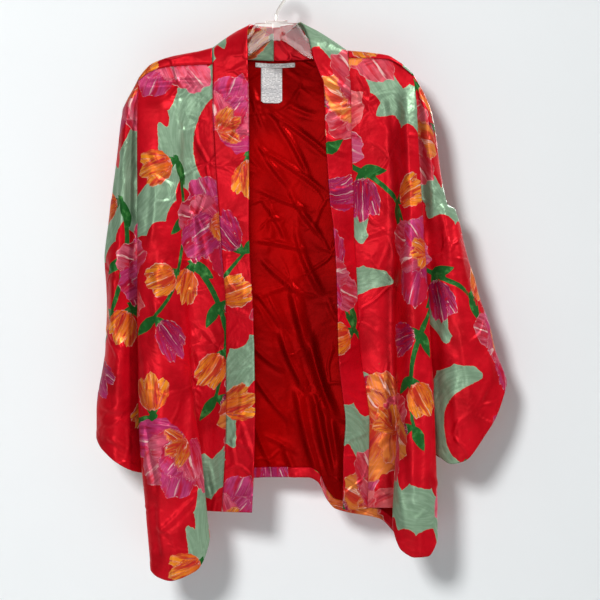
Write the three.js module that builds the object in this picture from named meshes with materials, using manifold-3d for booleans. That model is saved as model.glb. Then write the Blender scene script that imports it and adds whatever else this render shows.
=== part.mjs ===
// Open-front kimono jacket of lined satin, hung on a clear hanger.
// Millimetres, +Z up. The fronts face -Y and the wearer's left is at +X.
// The origin is the inside top of the hanger's hook, so a "drop" is a depth below it and Z is minus the drop.
// "out" is a distance sideways from the hanger's middle, and "fwd" a distance towards the fronts.
import * as THREE from "three";
import Module from "manifold-3d";

const wasm = await Module();
wasm.setup();

// Walls and seams
const CLOTH = 1.2;
const BAND_WALL = 2;
const LABEL_WALL = 0.6;
const SEAM_GAP = 0.4;
const NECK_GAP = 0.6;
const TUCK_GAP = 0.6;
const TUCK_UNDER_BAND = 5;

// Shoulders: the seam lies in front of the ridge, and the back panel wraps over the ridge to reach it
const FLAP_FWD = 12.3;
const FLAP_FWD_AT_END = 10.4;
const FLAP_TAPER_FROM = 200;
const BACK_OF_RIDGE = 16;
const BACK_BELOW_RIDGE = 16;
const RIDGE_SQUARENESS = 3;
const FADE_BELOW_SHOULDER = 120;
const TUCK_UNDER_FLAP = 0.3;
const TUCK_UNDER_FLAP_MOST = 5;

// Rise of the band's middle as it crosses the shoulder, one value for each station of the neck tables
const NECK_CROWN = [0, 1, 3, 5, 5, 3, 1, 0, 0, 0, 0, 0];

// Depth of a sleeve's back half as a share of its front half
const SLEEVE_BACK_DEPTH = 0.9;

// Labels
const LABEL_CLEARANCE = 0.1;
const NECK_LABEL = { left: -35.5, right: 30.5, top: 121.5, tall: 8, sag: 5, columns: 8, rows: 1 };
const CARE_LABEL = { left: -26, right: 9, tall: 61, corner: 4, squareness: 6, columns: 6, rows: 5 };

// Hanger
const HANGER_ARM = 208;
const HANGER_PLATE = 3;
const HANGER_RIM = 9;
const HANGER_RIM_WIDE = 4;
const HANGER_BELOW_RIDGE = CLOTH + 1.5;
const HANGER_NECK = { top: 58, flangeHalf: 18, flangeTall: 5, blockHalf: 6, blockFoot: 90, thick: 12 };
const HOOK = { inside: 14, wire: 5, stem: 8, lean: 2, from: -0.7, to: 3.3, bends: 10, sides: 10, steps: 26 };
const HANGER_SHOULDER_OUTS = [126, 150, 176, 192, 203];
const HANGER_INNER_TOP = [
  { out: 34, drop: 62 },
  { out: 39, drop: 68 },
  { out: 44, drop: 78 },
  { out: 53, drop: 88 },
  { out: 66, drop: 95 },
  { out: 84, drop: 102 },
  { out: 105, drop: 109 },
];
const HANGER_TIP = { out: HANGER_ARM, drop: 139 };
const HANGER_UNDERSIDE = [
  { out: 206, drop: 148 },
  { out: 195, drop: 149 },
  { out: 176, drop: 144 },
  { out: 140, drop: 136 },
  { out: 105, drop: 130 },
  { out: 70, drop: 124 },
  { out: 47, drop: 116 },
  { out: 9, drop: 89 },
];

// Grid steps: one number for each stretch between neighbouring columns of a table
const FRONT_STEPS = [1, 2, 2, 3, 4, 3, 3];
const SLEEVE_STEPS = [2, 3, 4, 4, 3, 2];
const BACK_SIDE_STEPS = [2, 2, 3, 2];
const BAND_STEPS = 3;
const FRONT_ROWS = 22;
const BACK_ROWS = 20;
const BAND_ROWS = 20;
const SLEEVE_ROWS = 17;

// The wearer's right side, whose cloth falls in one wide pleat with a long point.
const RIGHT = {
  sign: -1,
  shoulder: [
    { out: 105, ridge: 101.5, seam: 131 },
    { out: 126, ridge: 107.5, seam: 132 },
    { out: 150, ridge: 112, seam: 133 },
    { out: 176, ridge: 117.5, seam: 135 },
    { out: 200, ridge: 126, seam: 140 },
    { out: 209, ridge: 131, seam: 144 },
    { out: 217, ridge: 139, seam: 149 },
    { out: 230, ridge: 156, seam: 160 },
  ],
  band: [
    { drop: 131, seam: [105, 12.9], free: [47, 21] },
    { drop: 205, seam: [105, 17], free: [45, 25] },
    { drop: 254, seam: [103, 18], free: [45, 27] },
    { drop: 395, seam: [93, 19], free: [45, 29] },
    { drop: 460, seam: [88, 20], free: [43, 31] },
    { drop: 540, seam: [82.5, 20], free: [38, 33] },
    { drop: 716, seam: [82.5, 20], free: [35, 33] },
    { drop: 799, seam: [86, 19], free: [37, 32] },
    { drop: 866, seam: [90, 18], free: [40, 31] },
  ],
  neck: [
    { seam: [105, 12.9, 131], free: [47, 21, 131] },
    { seam: [105.5, 12.5, 116], free: [47, 20, 112] },
    { seam: [105.3, 9, 105], free: [47.5, 16, 93] },
    { seam: [104.5, 1, 101.5], free: [48, 9, 76] },
    { seam: [102, -7, 103], free: [46, 2, 66] },
    { seam: [98, -13, 107], free: [44.5, -5, 63] },
    { seam: [92, -18.5, 110.5], free: [43, -11, 62] },
    { seam: [80, -25, 114], free: [39, -17, 62] },
    { seam: [62, -30, 116.5], free: [32, -23, 62.5] },
    { seam: [42, -33.5, 118.5], free: [23, -27, 63] },
    { seam: [22, -35.5, 119.5], free: [13, -29.5, 63.5] },
    { seam: [5.2, -36, 120], free: [5.2, -30.5, 64] },
  ],
  front: [
    {
      drop: 120, recess: [125, 10.2], valley: [150, 10.2], edge: [162, 10.2],
      crest: [190, 10], side: [222, 7.6], end: [228, 7],
    },
    {
      drop: 162, recess: [127, 10.2], valley: [150, 10.2], edge: [162, 10.4],
      crest: [190, 10.2], side: [226, 8], end: [228, 7.6],
    },
    {
      drop: 205, recess: [130, 10], valley: [151, 11], edge: [162, 16],
      crest: [193, 26], side: [228, 19], end: [225, 12],
    },
    {
      drop: 270, recess: [130, 9], valley: [151, 11], edge: [161, 19],
      crest: [195, 34], side: [228, 24], end: [224, 12],
    },
    {
      drop: 400, recess: [122, 9], valley: [149, 10], edge: [158, 20],
      crest: [195, 40], side: [227, 27], end: [223, 12],
    },
    {
      drop: 456, recess: [118, 9], valley: [146, 9], edge: [156, 20],
      crest: [194, 42], side: [227, 28], end: [223, 12],
    },
    {
      drop: 520, recess: [114, 8], valley: [143, 7], edge: [152, 18],
      crest: [192, 44], side: [227, 29], end: [219, 0.4],
    },
    {
      drop: 600, recess: [111, 8], valley: [140, 5], edge: [145, 19],
      crest: [188, 47], side: [226, 31], end: [218, 0.4],
    },
    {
      drop: 680, recess: [110, 7], valley: [141, 2], edge: [137, 21],
      crest: [185, 50], side: [225, 33], end: [216, 0.4],
    },
    {
      drop: 760, recess: [111, 6], valley: [143, 0], edge: [124, 24],
      crest: [182, 52], side: [222, 34], end: [213, 0.4],
    },
    {
      drop: 866, recess: [114, 5], valley: [145, 0], edge: [113, 29],
      crest: [178, 54], side: [212, 36], end: [204, 0.4],
    },
    {
      drop: 975, recess: [114, 5], valley: [145, 0], edge: [101, 30],
      crest: [172, 50], side: [203, 36], end: [195, 0.4],
    },
  ],
  frontHem: [
    { at: 0, drop: 866 },
    { at: 2, drop: 866 },
    { at: 3, drop: 876 },
    { at: 4, drop: 906 },
    { at: 4.5, drop: 960 },
    { at: 5, drop: 975 },
    { at: 5.5, drop: 970 },
    { at: 6, drop: 960 },
    { at: 7, drop: 945 },
  ],
  back: [
    { drop: 150, neck: [97, -20], valley: [140, -14], crest: [190, -12], side: [222, -10], end: [227, -7] },
    { drop: 205, neck: [98, -18], valley: [145, -12], crest: [192, -18], side: [228, -18], end: [225, -12] },
    { drop: 300, neck: [97, -17], valley: [148, -11], crest: [192, -26], side: [228, -21], end: [224, -12] },
    { drop: 456, neck: [95, -16], valley: [148, -9], crest: [190, -32], side: [227, -23], end: [223, -12] },
    { drop: 520, neck: [94, -15], valley: [147, -8], crest: [188, -34], side: [227, -24], end: [219, -0.4] },
    { drop: 680, neck: [92, -15], valley: [146, -8], crest: [186, -37], side: [225, -26], end: [216, -0.4] },
    { drop: 820, neck: [90, -14], valley: [144, -8], crest: [182, -38], side: [217, -27], end: [208, -0.4] },
    { drop: 975, neck: [88, -14], valley: [140, -8], crest: [172, -38], side: [203, -27], end: [195, -0.4] },
  ],
  sleeve: [
    { drop: 161, start: [219, 6.8], inner: [226, 6.6], fold: [229, 5], outer: [231.5, 0] },
    { drop: 205, start: [216, 11.3], inner: [232, 10.6], fold: [243, 17], outer: [253, 2] },
    { drop: 300, start: [215, 11.3], inner: [233, 10.2], fold: [250, 21], outer: [266.5, 2] },
    { drop: 396, start: [215, 11.3], inner: [234, 10], fold: [255, 23], outer: [278, 2] },
    { drop: 456, start: [215, 11.3], inner: [235, 10], fold: [261, 24], outer: [284.5, 1] },
    { drop: 468, start: [218, 9], inner: [235, 9.5], fold: [263, 24], outer: [284, 1] },
    { drop: 480, start: [225, 6.5], inner: [235, 9.2], fold: [264, 25], outer: [283, 0] },
    { drop: 495, start: [226, 4], inner: [235, 9], fold: [266, 25], outer: [282, 0] },
    { drop: 520, start: [225, 1.6], inner: [235, 9], fold: [266, 25], outer: [281, 0] },
    { drop: 600, start: [224, 1.6], inner: [236, 12], fold: [262, 26], outer: [283, 0] },
    { drop: 700, start: [223, 1.6], inner: [236, 14], fold: [268, 28], outer: [297, 0] },
    { drop: 804, start: [219, 1.6], inner: [233, 13], fold: [264, 27], outer: [297, 0] },
  ],
  sleeveHem: [
    { at: 0, drop: 804 },
    { at: 1, drop: 800 },
    { at: 2, drop: 782 },
    { at: 2.5, drop: 764 },
    { at: 3, drop: 745 },
    { at: 3.5, drop: 760 },
    { at: 4, drop: 778 },
    { at: 5, drop: 797 },
    { at: 6, drop: 803 },
  ],
};

// The wearer's left side, whose pleat is narrower and whose sleeve flares.
const LEFT = {
  sign: 1,
  shoulder: [
    { out: 116, ridge: 106.5, seam: 120 },
    { out: 150, ridge: 110, seam: 121 },
    { out: 184, ridge: 115, seam: 123 },
    { out: 198, ridge: 123, seam: 129 },
    { out: 209, ridge: 130.5, seam: 136 },
    { out: 217, ridge: 138, seam: 142 },
    { out: 228, ridge: 149, seam: 152 },
  ],
  band: [
    { drop: 120, seam: [118, 12.9], free: [60, 21] },
    { drop: 140, seam: [119.6, 13.5], free: [68, 23] },
    { drop: 164, seam: [122, 14], free: [77, 26] },
    { drop: 190, seam: [123, 14], free: [79.5, 29] },
    { drop: 243, seam: [123.5, 14], free: [80.5, 31] },
    { drop: 312, seam: [125.5, 14], free: [85, 33] },
    { drop: 353, seam: [127, 13], free: [88, 36] },
    { drop: 409, seam: [128, 12], free: [95, 40] },
    { drop: 492, seam: [133, 10], free: [100, 44] },
    { drop: 561, seam: [134.5, 9], free: [101.5, 46] },
    { drop: 619, seam: [140, 9], free: [103, 46] },
    { drop: 665, seam: [147.5, 9], free: [108, 43] },
    { drop: 716, seam: [153, 9], free: [114, 40] },
    { drop: 781, seam: [152, 9], free: [110, 39] },
    { drop: 862, seam: [150, 9], free: [110, 38] },
  ],
  neck: [
    { seam: [118, 12.9, 120], free: [60, 21, 120] },
    { seam: [118, 12.5, 113], free: [56, 20, 102] },
    { seam: [117.5, 9, 108.5], free: [52.5, 16, 86] },
    { seam: [116, 1, 106.5], free: [48, 9, 73] },
    { seam: [113, -7, 107.5], free: [43, 2, 63] },
    { seam: [109, -13, 110], free: [40, -5, 59] },
    { seam: [102, -18.5, 113], free: [38, -11, 58.5] },
    { seam: [86, -25, 115.5], free: [34.5, -17, 59] },
    { seam: [64, -30, 117.5], free: [27, -23, 60] },
    { seam: [40, -33.5, 119], free: [17, -27, 61.5] },
    { seam: [17, -35.5, 120], free: [6, -29.5, 63] },
    { seam: [-4.8, -36, 120], free: [-4.8, -30.5, 64] },
  ],
  front: [
    {
      drop: 110, recess: [150, 10.2], valley: [178, 10.2], edge: [190, 10.2],
      crest: [206, 9], side: [220, 7.6], end: [226, 7],
    },
    {
      drop: 154, recess: [152, 10.2], valley: [186, 10.2], edge: [196, 10.2],
      crest: [210, 9.2], side: [226, 8], end: [226, 7.6],
    },
    {
      drop: 200, recess: [156, 9], valley: [189, 10], edge: [201, 17],
      crest: [214, 27], side: [230, 20], end: [227, 12],
    },
    {
      drop: 270, recess: [160, 7], valley: [191, 8], edge: [202, 20],
      crest: [217, 33], side: [233, 25], end: [229, 12],
    },
    {
      drop: 400, recess: [165, 5], valley: [192, 5], edge: [201, 20],
      crest: [220, 38], side: [241, 28], end: [236, 12],
    },
    {
      drop: 456, recess: [167, 4], valley: [192, 4], edge: [200.5, 20],
      crest: [221, 40], side: [245, 29], end: [240, 12],
    },
    {
      drop: 520, recess: [168, 3], valley: [191, 2], edge: [200, 20],
      crest: [222, 42], side: [249, 30], end: [242, 0.4],
    },
    {
      drop: 620, recess: [172, 2], valley: [193, 1], edge: [199.5, 22],
      crest: [224, 45], side: [254, 31], end: [246, 0.4],
    },
    {
      drop: 700, recess: [178, 2], valley: [198, 0], edge: [198, 24],
      crest: [226, 47], side: [258, 32], end: [249, 0.4],
    },
    {
      drop: 760, recess: [180, 2], valley: [204, 0], edge: [196, 26],
      crest: [226, 49], side: [260, 33], end: [250, 0.4],
    },
    {
      drop: 862, recess: [182, 2], valley: [208, 0], edge: [190, 30],
      crest: [225, 50], side: [263, 34], end: [253, 0.4],
    },
    {
      drop: 940, recess: [182, 2], valley: [208, 0], edge: [190, 31],
      crest: [225, 48], side: [262, 34], end: [250, 0.4],
    },
  ],
  frontHem: [
    { at: 0, drop: 861 },
    { at: 2, drop: 861 },
    { at: 3, drop: 864 },
    { at: 4, drop: 888 },
    { at: 4.5, drop: 926 },
    { at: 5, drop: 937 },
    { at: 5.5, drop: 936 },
    { at: 6, drop: 912 },
    { at: 7, drop: 892 },
  ],
  back: [
    { drop: 150, neck: [107, -20], valley: [150, -14], crest: [196, -12], side: [220, -10], end: [226, -7] },
    { drop: 200, neck: [108, -18], valley: [155, -12], crest: [202, -18], side: [230, -18], end: [227, -12] },
    { drop: 300, neck: [106, -17], valley: [160, -10], crest: [206, -26], side: [235, -21], end: [231, -12] },
    { drop: 456, neck: [104, -16], valley: [164, -8], crest: [210, -32], side: [245, -23], end: [240, -12] },
    { drop: 520, neck: [103, -15], valley: [166, -8], crest: [212, -34], side: [249, -24], end: [242, -0.4] },
    { drop: 620, neck: [102, -13], valley: [167, -9], crest: [214, -35], side: [254, -25], end: [246, -0.4] },
    { drop: 700, neck: [101, -8], valley: [168, -10], crest: [216, -36], side: [258, -26], end: [249, -0.4] },
    { drop: 862, neck: [98, -4], valley: [170, -11], crest: [218, -38], side: [263, -27], end: [253, -0.4] },
    { drop: 940, neck: [98, -4], valley: [170, -11], crest: [218, -38], side: [262, -27], end: [250, -0.4] },
  ],
  sleeve: [
    { drop: 153, start: [216, 6.6], inner: [224, 6.4], fold: [227, 5], outer: [230, 0] },
    { drop: 200, start: [218, 11.3], inner: [234, 10.5], fold: [243, 16], outer: [253, 2] },
    { drop: 240, start: [219, 11.3], inner: [236, 10.4], fold: [250, 19], outer: [262, 2] },
    { drop: 304, start: [222, 11.3], inner: [240, 10.2], fold: [256, 21], outer: [270, 2] },
    { drop: 361, start: [225, 11.3], inner: [244, 10.2], fold: [263, 23], outer: [281, 2] },
    { drop: 368, start: [226, 11.3], inner: [244, 10.2], fold: [266, 23], outer: [294, 0] },
    { drop: 420, start: [229, 11.3], inner: [248, 10.2], fold: [284, 26], outer: [308, -1] },
    { drop: 456, start: [232, 11.3], inner: [251, 10.2], fold: [291, 27], outer: [318, -1] },
    { drop: 468, start: [238, 9], inner: [253, 9.5], fold: [293, 27], outer: [322, -1] },
    { drop: 480, start: [245, 6.5], inner: [255, 9.2], fold: [295, 28], outer: [326, -1] },
    { drop: 495, start: [247, 4], inner: [256, 9], fold: [296, 28], outer: [330, -1] },
    { drop: 520, start: [249, 1.6], inner: [259, 9], fold: [298, 28], outer: [337, -1] },
    { drop: 560, start: [250, 1.6], inner: [261, 11], fold: [299, 29], outer: [352, -1] },
    { drop: 600, start: [252, 1.6], inner: [263, 12], fold: [300, 30], outer: [361, -1] },
    { drop: 655, start: [254, 1.6], inner: [265, 13], fold: [304, 30], outer: [379.5, -1] },
    { drop: 790, start: [257, 1.6], inner: [268, 14], fold: [310, 28], outer: [382, -1] },
  ],
  sleeveHem: [
    { at: 0, drop: 765 },
    { at: 1, drop: 776 },
    { at: 1.5, drop: 787 },
    { at: 2, drop: 781 },
    { at: 2.5, drop: 726 },
    { at: 3, drop: 657 },
    { at: 3.5, drop: 715 },
    { at: 4, drop: 774 },
    { at: 4.5, drop: 785 },
    { at: 5, drop: 778 },
    { at: 6, drop: 766 },
  ],
};

// The back's middle, and its hem. "at" counts the back's columns from the wearer's right end to the left.
const BACK_MIDDLE = [
  { drop: 120, centre: [-5, -36] },
  { drop: 160, centre: [-5, -31] },
  { drop: 260, centre: [-4, -22] },
  { drop: 420, centre: [-4, -18] },
  { drop: 640, centre: [-4, -17] },
  { drop: 860, centre: [-3, -20] },
];
const BACK_HEM = [
  { at: 0, drop: 943 },
  { at: 1, drop: 955 },
  { at: 2, drop: 962 },
  { at: 3, drop: 890 },
  { at: 4, drop: 824 },
  { at: 4.5, drop: 814 },
  { at: 5, drop: 812 },
  { at: 5.55, drop: 812 },
  { at: 5.7, drop: 819 },
  { at: 5.85, drop: 848 },
  { at: 6, drop: 863 },
  { at: 7, drop: 880 },
  { at: 8, drop: 922 },
  { at: 9, drop: 905 },
  { at: 10, drop: 890 },
];
// Columns of the back table: the neck edge, the middle, and the wearer's left end
const NECK_COLUMN = 4;
const MIDDLE_COLUMN = 5;
const LAST_COLUMN = 10;

// The lining starts this many columns in from each end; the facing is this share of its last row
const LINING_INSET = 2;
const FACING_SHARE = 0.5;

// Smooth value at x through knots that never overshoots them.
function smoothAt(knots, values, x) {
  const last = knots.length - 1;
  if (x <= knots[0]) return values[0];
  if (x >= knots[last]) return values[last];
  const slope = (j) => (values[j + 1] - values[j]) / (knots[j + 1] - knots[j]);
  const tangent = (j) => {
    if (j === 0) return slope(0);
    if (j === last) return slope(last - 1);
    const before = slope(j - 1);
    const after = slope(j);
    return before * after <= 0 ? 0 : (2 * before * after) / (before + after);
  };
  const i = knots.findIndex((knot) => knot > x) - 1;
  const width = knots[i + 1] - knots[i];
  const t = (x - knots[i]) / width;
  const rise = values[i + 1] - values[i];
  const a = tangent(i) * width;
  const b = tangent(i + 1) * width;
  return values[i] + a * t + (3 * rise - 2 * a - b) * t * t + (a + b - 2 * rise) * t * t * t;
}

// Point of one column of a table at a drop.
function columnAt(rows, key, drop) {
  const drops = rows.map((row) => row.drop);
  return rows[0][key].map((_, k) => smoothAt(drops, rows.map((row) => row[key][k]), drop));
}

// Value of a table whose rows are keyed by another column.
function valueAt(rows, by, key, x) {
  return smoothAt(rows.map((row) => row[by]), rows.map((row) => row[key]), x);
}

// Point at column number t of a smooth curve through plan points.
function through(points, t) {
  const knots = points.map(([out, fwd]) => new THREE.Vector3(out, fwd, 0));
  const curve = new THREE.CatmullRomCurve3(knots, false, "centripetal");
  const { x, y } = curve.getPoint(t / (points.length - 1));
  return [x, y];
}

// Column numbers 0 to n, with the given number of steps between neighbours.
function spread(steps) {
  return [0, ...steps.flatMap((count, i) => Array.from({ length: count }, (_, k) => i + (k + 1) / count))];
}

const place = (side, [out, fwd, drop]) => new THREE.Vector3(side.sign * out, -fwd, -drop);

// Normals of a grid of points, some of which may be missing.
function gridNormals(grid) {
  const normals = grid.map((line) => line.map((point) => point && new THREE.Vector3()));
  forEachCell(grid, (i, j) => {
    const across = grid[i + 1][j + 1].clone().sub(grid[i][j]);
    const down = grid[i][j + 1].clone().sub(grid[i + 1][j]);
    const normal = across.cross(down).normalize();
    for (const [a, b] of [[i, j], [i + 1, j], [i + 1, j + 1], [i, j + 1]]) normals[a][b].add(normal);
  });
  return normals.map((line) => line.map((normal) => normal && normal.normalize()));
}

function forEachCell(grid, act) {
  for (let i = 0; i + 1 < grid.length; i++) {
    for (let j = 0; j + 1 < grid[i].length; j++) {
      if (grid[i][j] && grid[i + 1][j] && grid[i][j + 1] && grid[i + 1][j + 1]) act(i, j);
    }
  }
}

// The grid moved along its normals.
function moved(grid, distance) {
  const normals = gridNormals(grid);
  const shifted = (point, normal) => point && point.clone().addScaledVector(normal, distance);
  return grid.map((line, i) => line.map((point, j) => shifted(point, normals[i][j])));
}

// Closed wall whose outer face is the grid. Positive depth lies along the grid's normals.
function wall(grid, depth) {
  const inner = moved(grid, depth);
  const positions = [];
  const number = new Map();
  const indexOf = (layer, i, j) => {
    const key = [layer, i, j].join();
    if (!number.has(key)) {
      number.set(key, positions.length / 3);
      positions.push(...(layer ? inner : grid)[i][j].toArray());
    }
    return number.get(key);
  };
  const faces = [];
  const edges = new Map();
  const edge = (a, b) => {
    const back = b.join() + ":" + a.join();
    if (edges.has(back)) edges.delete(back);
    else edges.set(a.join() + ":" + b.join(), [a, b]);
  };
  forEachCell(grid, (i, j) => {
    const loop = [[i, j], [i + 1, j], [i + 1, j + 1], [i, j + 1]];
    const [a, b, c, d] = loop.map(([p, q]) => indexOf(0, p, q));
    const [e, f, g, h] = loop.map(([p, q]) => indexOf(1, p, q));
    faces.push([a, b, c], [a, c, d], [g, f, e], [h, g, e]);
    loop.forEach((corner, k) => edge(corner, loop[(k + 1) % 4]));
  });
  for (const [a, b] of edges.values()) {
    const [p, q] = [indexOf(0, ...a), indexOf(0, ...b)];
    const [r, s] = [indexOf(1, ...a), indexOf(1, ...b)];
    faces.push([q, p, r], [q, r, s]);
  }
  return solid(positions, faces);
}

// Geometry from points and faces, turned so that its faces point out.
function solid(positions, faces) {
  const at = (k) => new THREE.Vector3().fromArray(positions, 3 * k);
  const volume = faces.reduce((sum, [a, b, c]) => sum + at(a).dot(at(b).cross(at(c))), 0);
  const turned = volume > 0 ? faces : faces.map(([a, b, c]) => [a, c, b]);
  return new THREE.BufferGeometry()
    .setAttribute("position", new THREE.Float32BufferAttribute(positions, 3))
    .setIndex(turned.flat());
}

// Neckband: its outer face from seam to free edge, from the hem up over the shoulder and round to the back.
function bandAcross(seam, free, bow) {
  return Array.from({ length: BAND_STEPS + 1 }, (_, k) => {
    const s = k / BAND_STEPS;
    const point = seam.map((value, axis) => THREE.MathUtils.lerp(value, free[axis], s));
    point[2] -= bow * Math.sin(Math.PI * s);
    return point;
  });
}

function bandGrid(side) {
  const top = side.band[0].drop;
  const hem = side.band.at(-1).drop;
  const front = Array.from({ length: BAND_ROWS }, (_, k) => {
    const drop = THREE.MathUtils.lerp(hem, top, k / BAND_ROWS);
    const seam = [...columnAt(side.band, "seam", drop), drop];
    const free = [...columnAt(side.band, "free", drop), drop];
    return bandAcross(seam, free, 0);
  });
  const neck = side.neck.map((row, k) => bandAcross(row.seam, row.free, NECK_CROWN[k]));
  return [...front, ...neck].map((line) => line.map((point) => place(side, point)));
}

// Front panel: it starts tucked under the band and ends at the armhole, or below that at the side seam.
function frontAt(side, t, drop) {
  const seam = new THREE.Vector2(...columnAt(side.band, "seam", drop));
  const free = new THREE.Vector2(...columnAt(side.band, "free", drop));
  const along = free.clone().sub(seam).normalize();
  const inward = new THREE.Vector2(-along.y, along.x).multiplyScalar(BAND_WALL + TUCK_GAP);
  const tucked = seam.clone().addScaledVector(along, TUCK_UNDER_BAND).add(inward);
  const clear = seam.clone().addScaledVector(along, -TUCK_UNDER_BAND).add(inward);
  const keys = ["recess", "valley", "edge", "crest", "side", "end"];
  const rest = keys.map((key) => columnAt(side.front, key, drop));
  return [...through([tucked.toArray(), clear.toArray(), ...rest], t), drop];
}

function frontGrid(side) {
  return spread(FRONT_STEPS).map((t) => {
    const nearTop = side.front[1].drop;
    const [out] = frontAt(side, t, nearTop);
    const ridge = valueAt(side.shoulder, "out", "ridge", out);
    const seam = valueAt(side.shoulder, "out", "seam", out);
    const top = seam - Math.min(TUCK_UNDER_FLAP * (seam - ridge), TUCK_UNDER_FLAP_MOST);
    const hem = valueAt(side.frontHem, "at", "drop", t);
    return Array.from({ length: FRONT_ROWS + 1 }, (_, k) => {
      const drop = THREE.MathUtils.lerp(top, hem, k / FRONT_ROWS);
      return place(side, frontAt(side, t, drop));
    });
  });
}

// Back panel: rows 0 to WRAP go over the shoulder, and the rows below them hang.
const WRAP = 6;
const SIDE_COLUMNS = spread(BACK_SIDE_STEPS);
const NECK_COLUMNS = RIGHT.neck.length - 1 - WRAP;

function backAt(t, drop) {
  const keys = ["end", "side", "crest", "valley", "neck"];
  const signed = (side, key) => {
    const [out, fwd] = columnAt(side.back, key, drop);
    return [side.sign * out, fwd];
  };
  const controls = [
    ...keys.map((key) => signed(RIGHT, key)),
    columnAt(BACK_MIDDLE, "centre", drop),
    ...keys.toReversed().map((key) => signed(LEFT, key)),
  ];
  const [x, fwd] = through(controls, t);
  return new THREE.Vector3(x, -fwd, -drop);
}

// Cloth over the shoulder at one distance out: a squarish arch from the forward seam to the back.
function overShoulder(side, out) {
  const ridge = valueAt(side.shoulder, "out", "ridge", out);
  const seam = valueAt(side.shoulder, "out", "seam", out);
  const end = side.shoulder.at(-1).out;
  const taper = THREE.MathUtils.smoothstep(out, FLAP_TAPER_FROM, end);
  const flap = THREE.MathUtils.lerp(FLAP_FWD, FLAP_FWD_AT_END, taper);
  const backDepth = THREE.MathUtils.lerp(BACK_OF_RIDGE, FLAP_FWD_AT_END, taper);
  const backDrop = THREE.MathUtils.lerp(BACK_BELOW_RIDGE, seam - ridge, taper);
  return Array.from({ length: WRAP + 1 }, (_, k) => {
    const angle = (Math.PI * k) / WRAP;
    const fwd = Math.sign(Math.cos(angle)) * Math.abs(Math.cos(angle)) ** (2 / RIDGE_SQUARENESS);
    const rise = Math.abs(Math.sin(angle)) ** (2 / RIDGE_SQUARENESS);
    const front = angle < Math.PI / 2;
    const foot = front ? seam : ridge + backDrop;
    return place(side, [out, fwd * (front ? flap : backDepth), foot - rise * (foot - ridge)]);
  });
}

// The back panel's edge beside the band, at one station of the band's seam.
function neckLine(side, station) {
  const seam = place(side, side.neck[station].seam);
  const free = place(side, side.neck[station].free);
  return seam.addScaledVector(seam.clone().sub(free).normalize(), NECK_GAP);
}

// Wrap points at the top of each column of the back panel. The last of each list starts the hanging part.
function backTops() {
  const sideTops = (side) =>
    SIDE_COLUMNS.map((t, k) => {
      const at = side === RIGHT ? t : LAST_COLUMN - t;
      const besideBand = k === SIDE_COLUMNS.length - 1;
      const out = Math.abs(backAt(at, side.back[0].drop).x);
      const stations = Array.from({ length: WRAP + 1 }, (_, s) => s);
      return { at, wrap: besideBand ? stations.map((s) => neckLine(side, s)) : overShoulder(side, out) };
    });
  const neckTops = (side) =>
    Array.from({ length: NECK_COLUMNS - 1 }, (_, k) => {
      const t = NECK_COLUMN + (k + 1) / NECK_COLUMNS;
      return { at: side === RIGHT ? t : LAST_COLUMN - t, wrap: [neckLine(side, WRAP + 1 + k)] };
    });
  const middleTop = neckLine(RIGHT, RIGHT.neck.length - 1).setX(BACK_MIDDLE[0].centre[0]);
  return [
    ...sideTops(RIGHT),
    ...neckTops(RIGHT),
    { at: MIDDLE_COLUMN, wrap: [middleTop] },
    ...neckTops(LEFT).toReversed(),
    ...sideTops(LEFT).toReversed(),
  ];
}

function backGrid() {
  return backTops().map(({ at, wrap }) => {
    const start = wrap.at(-1);
    const hem = valueAt(BACK_HEM, "at", "drop", at);
    const shift = start.clone().sub(backAt(at, -start.z));
    const hanging = Array.from({ length: BACK_ROWS }, (_, k) => {
      const drop = THREE.MathUtils.lerp(-start.z, hem, (k + 1) / BACK_ROWS);
      const fade = 1 - THREE.MathUtils.smoothstep(drop + start.z, 0, FADE_BELOW_SHOULDER);
      return backAt(at, drop).addScaledVector(shift, fade);
    });
    const missing = Array(WRAP + 1 - wrap.length).fill(null);
    return [...missing, ...wrap, ...hanging];
  });
}

// Sleeve: a tube that hangs beside the body, open to it along the armhole and closed by its own seam below.
function sleeveAt(side, t, drop) {
  const front = ["start", "inner", "fold", "outer"].map((key) => columnAt(side.sleeve, key, drop));
  const [start, inner, fold] = front;
  const behind = ([out, fwd], share) => [out, -fwd * share];
  const back = [behind(fold, SLEEVE_BACK_DEPTH), behind(inner, 1), behind(start, 1)];
  return [...through([...front, ...back], t), drop];
}

function sleeveGrid(side) {
  const top = side.sleeve[0].drop;
  return spread(SLEEVE_STEPS).map((t) => {
    const hem = valueAt(side.sleeveHem, "at", "drop", t);
    return Array.from({ length: SLEEVE_ROWS + 1 }, (_, k) => {
      const drop = THREE.MathUtils.lerp(top, hem, k / SLEEVE_ROWS);
      return place(side, sleeveAt(side, t, drop));
    });
  });
}

// Depth of a grid's faces at a place seen from the front.
function depthAt(grid, x, z) {
  let depth = null;
  forEachCell(grid, (i, j) => {
    const [a, b, c, d] = [grid[i][j], grid[i + 1][j], grid[i + 1][j + 1], grid[i][j + 1]];
    for (const corners of [[a, b, c], [a, c, d]]) {
      const flat = corners.map((point) => new THREE.Vector3(point.x, point.z, 0));
      const weights = new THREE.Vector3();
      if (!THREE.Triangle.getBarycoord(new THREE.Vector3(x, z, 0), ...flat, weights)) continue;
      if (Math.min(weights.x, weights.y, weights.z) < 0) continue;
      const y = weights.dot(new THREE.Vector3(...corners.map((point) => point.y)));
      depth = depth === null ? y : Math.min(depth, y);
    }
  });
  return depth;
}

// Label on the lining: rows of points between two edges, in front of the lining.
function labelGrid(lining, label, topAt, bottomAt) {
  return Array.from({ length: label.columns + 1 }, (_, i) => {
    const x = THREE.MathUtils.lerp(label.left, label.right, i / label.columns);
    return Array.from({ length: label.rows + 1 }, (_, j) => {
      const z = -THREE.MathUtils.lerp(topAt(x), bottomAt(x), j / label.rows);
      return new THREE.Vector3(x, depthAt(lining, x, z) - LABEL_CLEARANCE, z);
    });
  });
}

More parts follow.
